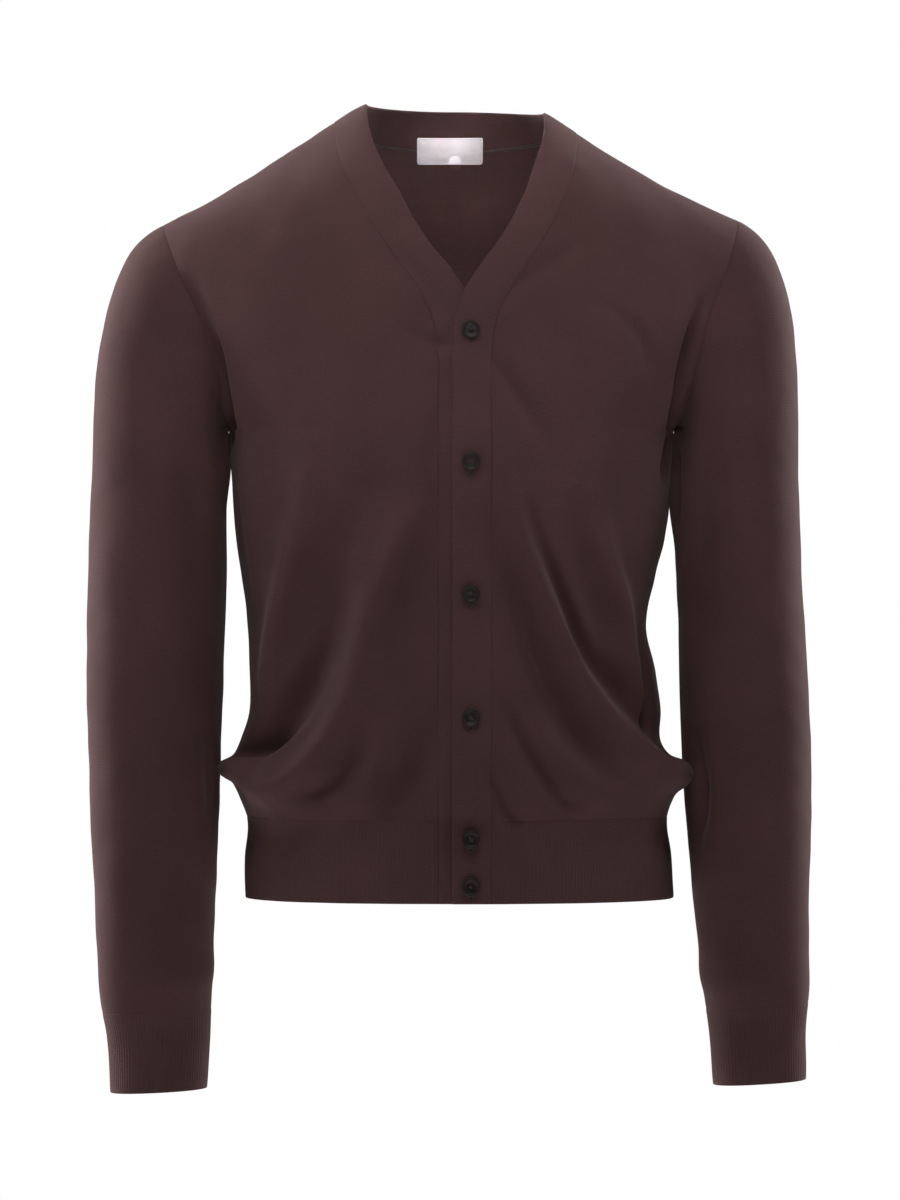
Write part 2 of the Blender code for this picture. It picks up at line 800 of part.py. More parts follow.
def back_neck_height(x):
    middle, rise, power = BACK_NECK_SEAM
    return middle + rise * np.abs(x / column(NECKLINE, 4)[-1]) ** power


def back_panel():
    """The back. Its middle columns end at the neck seam and the others at the shoulder seams."""
    part = np.linspace(-1, 1, 2 * BACK_HALF_COLUMNS + 1)
    top_turn = armhole_turn(1.0, 1, True)
    corner = turn_of_x(column(NECKLINE, 4)[-1], 1.0, True)
    corner_part = (180 - corner) / (180 - top_turn)
    inner = np.linspace(0, corner_part, NECK_COLUMNS + 1)
    outer = np.linspace(corner_part, 1, BACK_HALF_COLUMNS - NECK_COLUMNS + 1)[1:]
    half = np.concatenate([inner, outer])
    neck_part = np.concatenate([-half[:0:-1], half])

    def below_seam(level):
        point = torso_form(back_turn(neck_part, level), level)
        return point[:, 2] < back_neck_height(point[:, 0])

    at_neck = np.abs(neck_part) < corner_part - 1e-6
    top = np.where(at_neck, search(below_seam, np.zeros(part.shape), np.ones(part.shape)), 1)
    levels = body_levels()
    grid = np.where(levels[:, None] > 0, levels[:, None] * top[None, :], levels[:, None])
    bend = ease(0, 1, levels)[:, None]
    share = (1 - bend) * part + bend * neck_part
    turns = back_turn(share, grid)
    face = torso(turns, grid)
    out = torso_out(turns, grid)
    yoke = levels >= 0
    out[yoke, 0] = seam_out(-1, levels[yoke], True)
    out[yoke, -1] = seam_out(1, levels[yoke], True)
    neck = slice(BACK_HALF_COLUMNS - NECK_COLUMNS, BACK_HALF_COLUMNS + NECK_COLUMNS + 1)
    seam_face = face[-1, neck].copy()
    seam_dir = out[-1, neck].copy()
    face = draw_in(face, out, ("first row", "last row", "first column", "last column"))
    wall("back_panel", face, out, WALL, KNIT_BROWN, CLOTH_ROUGHNESS)

    levels = rib_levels()
    turns = back_turn(part, levels[:, None])
    grid = np.broadcast_to(levels[:, None], turns.shape)
    rib = torso(turns, grid)
    rib_out = torso_out(turns, grid)
    rib = draw_in(rib, rib_out, ("last row", "first column", "last column"))
    wall("hem_rib_back", rib, rib_out, WALL, RIB_BROWN, CLOTH_ROUGHNESS)
    return seam_face, seam_dir


def back_turn(share, level):
    """The turn at a share of the way from the middle of the back (0) to its sides (-1, 1)."""
    right = armhole_turn(level, 1, True)
    return 180 - share * (180 - right)


def band(name, edge_index, seam_index, over):
    """A front band from the hem to the shoulder, between its free edge and its seam."""
    level = band_levels()
    turns = spread_turns(line_turn(level, edge_index), line_turn(level, seam_index), BAND_COLUMNS)
    grid = np.broadcast_to(level[:, None], turns.shape)
    face = torso(turns, grid, over)
    out = torso_out(turns, grid, over)
    face = draw_in(face, out, ("last row", "last column")) + BAND_PROUD * out
    wall(name, face, out, BAND_WALL, RIB_BROWN, CLOTH_ROUGHNESS)


def neckband(seam, seam_dir):
    """The strip that stands up from the back's neck seam, from shoulder to shoulder."""
    swing = np.linspace(-1, 1, len(seam)) * math.pi / 2
    ends = [torso(turn_of_x(NECKLINE[-1][k], 1.0), 1.0) for k in (1, 3)]
    height, behind = NECKBAND_TOP
    half = np.where(swing < 0, -ends[0][0], ends[1][0])
    side_height = np.where(swing < 0, ends[0][2], ends[1][2])
    high = side_height + (height - side_height) * np.cos(swing) ** 2
    top = np.stack([half * np.sin(swing), behind * np.cos(swing), high], -1)
    across = np.linspace(1, 0, BAND_COLUMNS + 1)[:, None, None]
    face = seam * across + top * (1 - across)
    out = unit(np.cross(np.gradient(face, axis=0), np.gradient(face, axis=1)))
    out[0] = seam_dir
    for end in (0, -1):
        out[:, end] = torso_out(turn_of_x(face[:, end, 0], 1.0), 1.0)
    face = draw_in(face, out, ("first row", "first column", "last column")) + BAND_PROUD * out
    wall("neckband_back", face, out, BAND_WALL, RIB_BROWN, CLOTH_ROUGHNESS)


def neck_label():
    """The label lies over the neck seam, on the inside of the back."""
    width, height = LABEL_SIZE
    middle_x, middle_height = LABEL_MIDDLE
    rows = []
    for z in np.linspace(middle_height - height / 2, middle_height + height / 2, LABEL_ROWS):
        row = []
        for x in np.linspace(middle_x - width / 2, middle_x + width / 2, LABEL_COLUMNS):
            seam_height = back_neck_height(x)
            level = level_at(x, min(z, seam_height), True)
            point = torso(turn_of_x(x, level, True), level)
            if z > seam_height:
                top_height, behind = NECKBAND_TOP
                top = np.array([x, behind * math.sqrt(1 - (x / NECK_HALF) ** 2), top_height])
                point = point + (top - point) * (z - seam_height) / (top_height - seam_height)
            row.append(point)
        rows.append(row)
    face = np.array(rows)
    out = unit(np.cross(np.gradient(face, axis=0), np.gradient(face, axis=1)))
    face = face - out * (BAND_WALL + LABEL_CLEAR)
    wall("neck_label", face, out, LABEL_THICKNESS, LABEL_WHITE, LABEL_ROUGHNESS)


def sleeve_panels(side, sleeve_name, cuff_name):
    """A sleeve and its cuff. The lines down a sleeve begin where the body's rings end."""
    surface = SLEEVES[side]
    table = SLEEVE_LEFT if side < 0 else SLEEVE_RIGHT
    around = np.arange(2 * YOKE_STEPS) * 180 / YOKE_STEPS
    cuff = (table[0][0] - table[CUFF_ROW][0]) / (table[0][0] - table[-1][0])
    cap = np.linspace(-1, 0, CAP_STEPS + 1)[:-1]
    down = np.concatenate([cap, np.linspace(0, cuff, SLEEVE_STEPS + 1)])
    for name, drop, edges, colour in (
        (sleeve_name, down, ("first row", "last row"), KNIT_BROWN),
        (cuff_name, np.linspace(cuff, 1, CUFF_STEPS + 1), ("first row",), RIB_BROWN),
    ):
        turns, drops = np.meshgrid(around, drop)
        face = surface(turns, drops)
        out = sleeve_out(side, surface, turns, drops)
        if drop[0] < 0:
            level = np.abs(around - 180) / 180
            for behind in (False, True):
                here = around > 180 if behind else around <= 180
                out[0, here] = seam_out(side, level[here], behind)
        face = draw_in(face, out, edges, tube=True)
        wall(name, face, out, WALL, colour, CLOTH_ROUGHNESS, tube=True)


def buttons():
    """Each button stands clear of the highest point of the band under it."""
    rings = band_levels()
    radius = BUTTON_DIAMETER / 2
    for number, height in enumerate(BUTTON_HEIGHTS, 1):
        level = level_at(BUTTON_X, height)
        turn = turn_of_x(BUTTON_X, level)
        out = torso_out(turn, level, True)
        centre = torso(turn, level, True)
        crown = 0
        for x in (BUTTON_X - radius, BUTTON_X, BUTTON_X + radius):
            line = torso(turn_of_x(x, rings), rings, True)
            under = np.interp(height + radius * np.linspace(-1, 1, 5), line[:, 2], (line - centre) @ out)
            crown = max(crown, under.max())
        seat = centre + out * (crown + BAND_PROUD + SEAM_GAP)
        line = [(share * radius * MM, 0, z * MM) for share, z in BUTTON_PROFILE]
        mesh = bpy.data.meshes.new(f"button_{number}")
        mesh.from_pydata(line, [(k, k + 1) for k in range(len(line) - 1)], [])
        thing = place_object(mesh.name, mesh, Vector(seat * MM), BUTTON_BROWN, BUTTON_ROUGHNESS)
        thing.rotation_euler = Vector(out).to_track_quat("Z", "Y").to_euler()
        screw = thing.modifiers.new("turned", "SCREW")
        screw.axis = "Z"
        screw.steps = screw.render_steps = BUTTON_TURNS
        screw.use_merge_vertices = True
        screw.merge_threshold = 0.01 * MM


# --- Building it --------------------------------------------------------------------------
for old in list(bpy.data.objects):
    bpy.data.objects.remove(old)
COLLECTION = bpy.data.collections.new("v_neck_cardigan")
bpy.context.scene.collection.children.link(COLLECTION)
ROOT = bpy.data.objects.new("cardigan", None)
COLLECTION.objects.link(ROOT)
SLEEVES = {side: sleeve(side) for side in (-1, 1)}

front_panel("under_front", -1, 2)
front_panel("over_front", 1, 4)
neck_seam, neck_dir = back_panel()
band("button_band", 1, 2, False)
band("buttonhole_band", 3, 4, True)
neckband(neck_seam, neck_dir)
sleeve_panels(-1, "sleeve_left", "cuff_left")
sleeve_panels(1, "sleeve_right", "cuff_right")
buttons()
neck_label()
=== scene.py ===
"""The looks of a men's V-neck knit cardigan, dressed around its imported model.

Every cloth piece is a fine thin shell, read from the same smooth surface as its solid and
given sharper creases, rolled edges and ribs. Lengths are in millimetres until a mesh is made.

Frame: +Z up, the front faces -Y, +X is to the right as seen from the front. The origin is at
the neck, level with the two points where the shoulder seams meet the neckline.
"""

import math

import bpy
import numpy as np
from mathutils import Matrix, Vector


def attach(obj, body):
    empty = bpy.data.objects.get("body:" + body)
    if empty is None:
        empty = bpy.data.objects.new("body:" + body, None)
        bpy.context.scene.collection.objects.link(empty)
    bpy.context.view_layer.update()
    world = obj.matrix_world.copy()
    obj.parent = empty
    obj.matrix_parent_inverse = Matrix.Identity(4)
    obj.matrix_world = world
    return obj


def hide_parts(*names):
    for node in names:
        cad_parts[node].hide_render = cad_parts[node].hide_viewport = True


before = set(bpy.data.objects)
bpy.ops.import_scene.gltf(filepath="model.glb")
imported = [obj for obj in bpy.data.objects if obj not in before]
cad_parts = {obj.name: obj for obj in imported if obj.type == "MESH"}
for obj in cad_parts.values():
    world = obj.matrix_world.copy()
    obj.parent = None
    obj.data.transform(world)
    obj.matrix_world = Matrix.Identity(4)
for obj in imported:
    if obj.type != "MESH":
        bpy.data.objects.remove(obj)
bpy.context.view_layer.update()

MM = 0.001
ROOT = "root"

# --- Driving dimensions -------------------------------------------------------------------
WALL = 1.8  # one layer of fine knit, with its loft
BAND_WALL = 2.4  # the front bands and neckband are knitted double
BAND_PROUD = 0.4  # how far a band's face stands above its panel
SEAM_GAP = 0.03  # between the faces of two pieces that are sewn together
SEAM_DEPTH = 0.2  # a panel's face rolls down to its seam by this much
SEAM_WIDTH = 2.4  # over this width
LAP_LIFT = 3.1  # how far the upper front rides over the lower one at the buttons
LAP_FADE = 42.0  # the lift dies out over this width of the upper front
LAP_TOP = (-96.0, -130.0)  # heights between which the two fronts come to overlap

HEM = -613.5
RIB_TOP = -550.0
ARMPIT = -250.0
NECK_HALF = 69.0  # side neck point to the middle
RING_POWER = 2.4  # 2 would be an ellipse; more is squarer
SLOPE_SOFT = 0.08  # how softly the shoulder's slope begins beside the neck
SHOULDER_LIFT = (4.0, 8.0)  # how much higher the left and right shoulder's end lies than the yoke's
SHOULDER_SAG = (4.0, 9.0)  # how far each shoulder seam sags between the neck and its end
SHOULDER_FADE = 0.4  # both die out between the shoulder seam and this level
NECK_TILT = 3.0  # the left side neck point lies this much higher, and the right one lower

BUTTON_DIAMETER = 14.5
BUTTON_COUNT = 6
LABEL_SIZE = (52.0, 20.0)
LABEL_THICKNESS = 0.6
LABEL_LIFT = 1.6  # the label's lower edge stands off the cloth by this much
LABEL_CORNER = 2.2
LABEL_WAVE = 0.12
LABEL_GRID = (53, 21)  # columns and rows of points
DRILL_TURNS = 14
DRILL_HEIGHTS = (-1, 4)  # a hole's bar passes through the button between these
THREAD_RADIUS = 0.3
THREAD_APART = 0.32  # each of a pair of threads lies this far from the middle line
THREAD_LIFT = 0.3  # a thread leaves its hole this far above the button's floor
THREAD_ARCH = 0.45  # and rises by this much more in the middle
THREAD_OVER = 0.35  # the second pair crosses over the first
THREAD_DEPTH = 0.9  # a thread ends this far below the button's floor, in its hole
BINDING_RADIUS = 0.5
BINDING_LIFT = 0.15  # the binding's middle stands above the band's face by this much
TAPE_RADIUS = 1.3
TAPE_OFF = 0.55  # the tape's middle stands off the neckband's inner face by this much
STITCH_RADIUS = 0.16
STITCH_PROUD = 0.12  # a label stitch lies this far above the label
STITCH_ARCH = 0.14  # and its middle stands this much higher
STITCH_DEPTH = 0.3  # its ends turn down from there by this much, into the label
FLOOR_TURNS = 96
LABEL_MIDDLE = (-4.0, -25.8)  # x and height, on the inside of the back neck

# How finely the cloth is meshed.
FRONT_STEP = 2.2
CLOTH_STEP = 3.1
BAND_STEP = 1.6
RIB_PITCH = 2.6  # one rib and one furrow
RIB_RISE = 0.12
RIB_SAMPLES = 5  # columns for each rib
SEAM_OFFSETS = (0.0, 0.5, 1.2, 2.2, 3.8)  # rows near a seam, by their distance from it
FREE_OFFSETS = (0.0, 0.12, 0.4, 0.8, 1.2, 2.0)  # rows near a rolled free edge
RIM_SHARE = 0.92  # how round a free edge is; 1 would close to a point
RIB_FADE = 3.5  # ribs flatten out over this distance from a piece's edge
SHOULDER_LENGTH = 132.0  # along the back's shoulder seam, for its spacing
BACK_HALF_WIDTH = 236.0  # round the back at the armpit, from the middle, for its spacing
NECK_COLUMNS = 0.4  # the share of the back's columns that end at the neck
SLEEVE_COLUMNS = 108
SLEEVE_RADIUS = 48.0
UNDERARM_DEPTH = 0.55
UNDERARM_WIDTH = 1.6
FOLD_REACH = 3.0  # a fold is felt up to this many spreads away
TINY = 1e-6  # keeps a division from being by nothing
FOLD_PARTS = 4  # pieces between two given points of a fold
ARMHOLE_SAMPLES = 1440

# Cut sizes: a flat rectangle round each piece, and the piece's own area in it.
CUTS = {
    # node: (width, length, area)
    "under_front": (235.0, 640.0, 119800.0),
    "over_front": (235.0, 640.0, 113200.0),
    "back_panel": (510.0, 625.0, 239800.0),
    "sleeve_left": (370.0, 610.0, 175100.0),
    "sleeve_right": (370.0, 610.0, 169100.0),
    "hem_rib_under": (222.0, 63.0, 13900.0),
    "hem_rib_over": (214.0, 63.0, 13400.0),
    "hem_rib_back": (437.0, 63.0, 27500.0),
    "button_band": (30.0, 720.0, 21100.0),
    "buttonhole_band": (30.0, 720.0, 21000.0),
    "neckband_back": (232.0, 30.0, 6960.0),
    "cuff_left": (228.0, 64.0, 14590.0),
    "cuff_right": (208.0, 64.0, 13300.0),
    "neck_label": (52.0, 27.0, 1380.0),
}

BUTTON_TURNS = 44
BUTTON_SPINS = (12, -20, 31, 4, -9, 22)
BUTTON_FLOOR = 1.35  # the dish's bottom above the seat
BUTTON_PROFILE = (
    # share of the radius, height above the seat
    (0.02, 1.35),
    (0.30, 1.36),
    (0.50, 1.42),
    (0.60, 1.62),
    (0.68, 2.0),
    (0.74, 2.32),
    (0.80, 2.5),
    (0.86, 2.56),
    (0.92, 2.46),
    (0.965, 2.2),
    (0.99, 1.85),
    (1.0, 1.5),
    (0.985, 1.1),
    (0.94, 0.75),
    (0.86, 0.4),
    (0.72, 0.12),
    (0.5, 0.02),
    (0.02, 0.0),
)
HOLE_AWAY = 1.75
HOLE_RADIUS = 0.8

# --- Looks --------------------------------------------------------------------------------
KNIT_COLOUR = (0.060, 0.029, 0.0285)
RIB_COLOUR = (0.061, 0.030, 0.0295)
BUTTON_COLOUR = (0.011, 0.006, 0.0055)
THREAD_COLOUR = (0.030, 0.016, 0.015)
# dark thread round the buttonholes; the same colour on the neck tape is painted shadow under the neckband
BINDING_AND_SHADOW_COLOUR = (0.014, 0.007, 0.0068)
LABEL_COLOUR = (0.88, 0.82, 0.87)
LABEL_THREAD_COLOUR = (0.40, 0.36, 0.39)
SHEEN_TINT = (0.9, 0.72, 0.72, 1.0)
KNIT_SHEEN = 0.08
BODY_STITCH = (1.7, 1.25)  # a column's width and a row's height
RIB_STITCH = (1.45, 1.25)
BAND_STITCH = (1.45, 1.15)
STITCH_SLANT = 0.55
STITCH_WOBBLE = 0.5
STITCH_RISE = 0.16
STITCH_STRENGTH = 0.4

HOLE_HALF_LENGTH = 8.6
HOLE_HALF_WIDTH = 1.2
HOLE_LOW = 1.4  # a buttonhole reaches this much lower than its button's middle

AMBIENT = 0.01
# name, place, aim, size in metres, watts, spread in degrees
LAMPS = (
    ("key", (0.0, -0.85, 1.3), (0, 0, -0.35), (0.9, 0.4), 19.0, 180),
    ("front", (0.0, -3.0, 0.2), (0, 0, -0.12), (0.4, 0.3), 0.38, 20),
    ("neck", (0.0, -2.2, 0.1), (0, 0.06, -0.035), (0.14, 0.05), 0.034, 4.0),
    ("side_left", (-2.6, -0.6, 0.5), (0, 0, -0.4), (1.2, 2.0), 22.0, 180),
    ("side_right", (2.6, -0.6, 0.5), (0, 0, -0.4), (1.2, 2.0), 17.0, 180),
    ("rim_left", (-2.6, 1.2, 0.7), (0, 0, -0.4), (1.0, 2.2), 190.0, 180),
    ("rim_right", (2.6, 1.6, 0.9), (0, 0, -0.4), (1.0, 2.0), 155.0, 180),
)
FLOOR_RADIUS = 5.0
FLOOR_HEIGHT = -1.5
CAMERA_PLACE = (-0.004, -4.6, -0.382)
CAMERA_LENS = 36 * 4.6 / 0.936

# --- Sections of the torso ----------------------------------------------------------------
# Each row is a level ring: how far the cloth reaches to the left, right, front and back.
BODY = (
    # height, left, right, front, back
    (-612, 163, 170, 118, 94),
    (-581, 163, 169, 120, 95),
    (-550, 162, 166, 122, 97),
    (-534, 169, 170.5, 129, 104),
    (-515, 176, 173.5, 129, 106),
    (-491, 167, 160, 126, 102),
    (-470, 161, 160, 123, 96),
    (-440, 161, 157, 121, 90),
    (-400, 162, 149, 120, 85),
    (-365, 166, 155, 121, 86),
    (-335, 171, 163, 125, 93),
    (-300, 174, 168, 128.5, 99),
    (-250, 176, 170, 129, 104),
)
MIDDLE = 5.0  # the side seams lie this far behind the origin, up to the armpits

# Above the armpits a ring slopes down from the neck to the armhole's edge. The edge lies on
# the ring where its share of the ring's depth is the number given.
YOKE = (
    # height, front, back, left edge, right edge, edge height, front share, back share
    (-250, 129, 104, 176, 170, -250, 0.000, 0.000),
    (-240, 129, 105, 178, 172, -247, 0.115, 0.140),
    (-225, 128, 106, 181, 175, -240, 0.230, 0.287),
    (-203, 127, 108, 184, 179, -228, 0.339, 0.413),
    (-175, 123, 109, 188, 184, -210, 0.432, 0.509),
    (-142, 116, 109, 195, 191, -185, 0.509, 0.569),
    (-108, 106, 104, 203, 199, -158, 0.553, 0.590),
    (-76, 92, 95, 212, 208, -134, 0.578, 0.583),
    (-46, 75, 80, 219, 214, -116, 0.581, 0.575),
    (-21, 54, 58, 224, 218, -104, 0.574, 0.569),
    (-1, 28, 30, 227, 220, -97, 0.567, 0.565),
    (6.5, 0, 0, 228, 221, -94, 0.560, 0.560),
)
YOKE_STEPS = len(YOKE) - 1
HALVINGS = 18  # how far a search is narrowed
SETTLES = 50  # steps that bring a ring's end onto a slanting line
TORSO_NUDGE = (0.4, 0.004)  # steps of turn and level from which a direction is read
SLEEVE_NUDGE = (1.0, 0.01)  # the same on a sleeve, in turn and drop

# --- The cloth's slight unevenness --------------------------------------------------------
CHANCE = np.random.default_rng(11)
DRIFT_COUNT = 18
DRIFT_LENGTHS = np.geomspace(20, 110, DRIFT_COUNT)  # from crest to crest
DRIFT_RISES = 0.0022 * DRIFT_LENGTHS
DRIFT_WAVES = CHANCE.normal(size=(DRIFT_COUNT, 3))
DRIFT_WAVES *= (2 * np.pi / DRIFT_LENGTHS / np.linalg.norm(DRIFT_WAVES, axis=1))[:, None]
DRIFT_PHASES = CHANCE.uniform(0, 2 * np.pi, DRIFT_COUNT)

# The neckline and the front edges, by height. A seam joins each band to its front.
NECKLINE = (
    # height, under edge, under seam, over edge, over seam
    (-612, 17, -12.5, -2.3, 27),
    (-200, 17, -12.5, -2.3, 27),
    (-180, 16.5, -14, -1.8, 28.5),
    (-162, 14, -19, 1.5, 33.5),
    (-145, 7.5, -27, 7.5, 42.5),
    (-128, -4, -39.5, 18.5, 53),
    (-113, -17, -51, 29.5, 63),
    (-90, -32, -66, 43.5, 76.5),
    (-68, -43, -77, 54, 86),
    (-46, -56, -87.5, 61, 92),
    (-28, -63.5, -92, 67, 94.5),
    (-15, -67, -94, 69, 95),
    (0, -69, -94, 69, 95),
)
BACK_NECK_SEAM = (-27.0, 14.0, 2.2)  # middle height, rise to the shoulder, power of the curve
NECKBAND_TOP = (3.2, 55.0)  # height and distance behind, at the middle of the back

# --- Sections of the sleeves --------------------------------------------------------------
# Each row is a ring below the armhole, as seen from the front: its outer and inner edge. The
# slant is how steeply a ring rises towards +X.
SLEEVE_LEFT = (
    # height, outer, inner, middle, half depth, slant
    (-289, -283.0, -177.0, -6, 57, 0.00),
    (-335, -285.0, -177.5, -7, 58, 0.00),
    (-382, -286.5, -178.0, -8, 57, 0.00),
    (-429, -286.5, -180.0, -10, 55, 0.00),
    (-476, -286.0, -181.5, -12, 53, 0.00),
    (-538, -283.5, -182.8, -14, 49, 0.01),
    (-601, -280.5, -186.0, -16, 45, 0.02),
    (-648, -278.5, -187.5, -18, 41, 0.04),
    (-700, -274.0, -189.5, -19, 36, 0.05),
    (-712, -271.5, -190.0, -19, 33, 0.05),
    (-762.5, -268.5, -192.5, -20, 31, 0.05),
)
SLEEVE_RIGHT = (
    (-289, 267.5, 169.5, -6, 57, 0.00),
    (-335, 269.5, 171.0, -7, 58, 0.00),
    (-382, 271.5, 173.0, -8, 57, 0.00),
    (-429, 274.0, 174.0, -10, 55, 0.00),
    (-476, 276.0, 175.0, -12, 53, 0.00),
    (-538, 276.5, 177.8, -14, 49, 0.01),
    (-601, 275.5, 183.7, -16, 45, 0.02),
    (-648, 275.0, 188.5, -18, 41, 0.04),
    (-696, 274.5, 194.5, -19, 36, 0.06),
    (-706, 273.5, 196.0, -19, 33, 0.06),
    (-756, 272.0, 200.5, -20, 31, 0.06),
)
SLEEVE_POWER = 2.15
CUFF_ROW = 8  # the row where the sleeve's cloth ends and its cuff begins
CAP_LEAN = (25.0, 74.0)  # how steeply a sleeve leaves the armhole, at the shoulder and the armpit
CAP_PULL = (0.90, 0.88)  # how strongly the cap keeps its direction at the top and the bottom
CAP_STILL = -0.8  # folds die out between this drop and the armhole
CAP_SAMPLES = 60  # places at which a fold's height is looked up on the cap

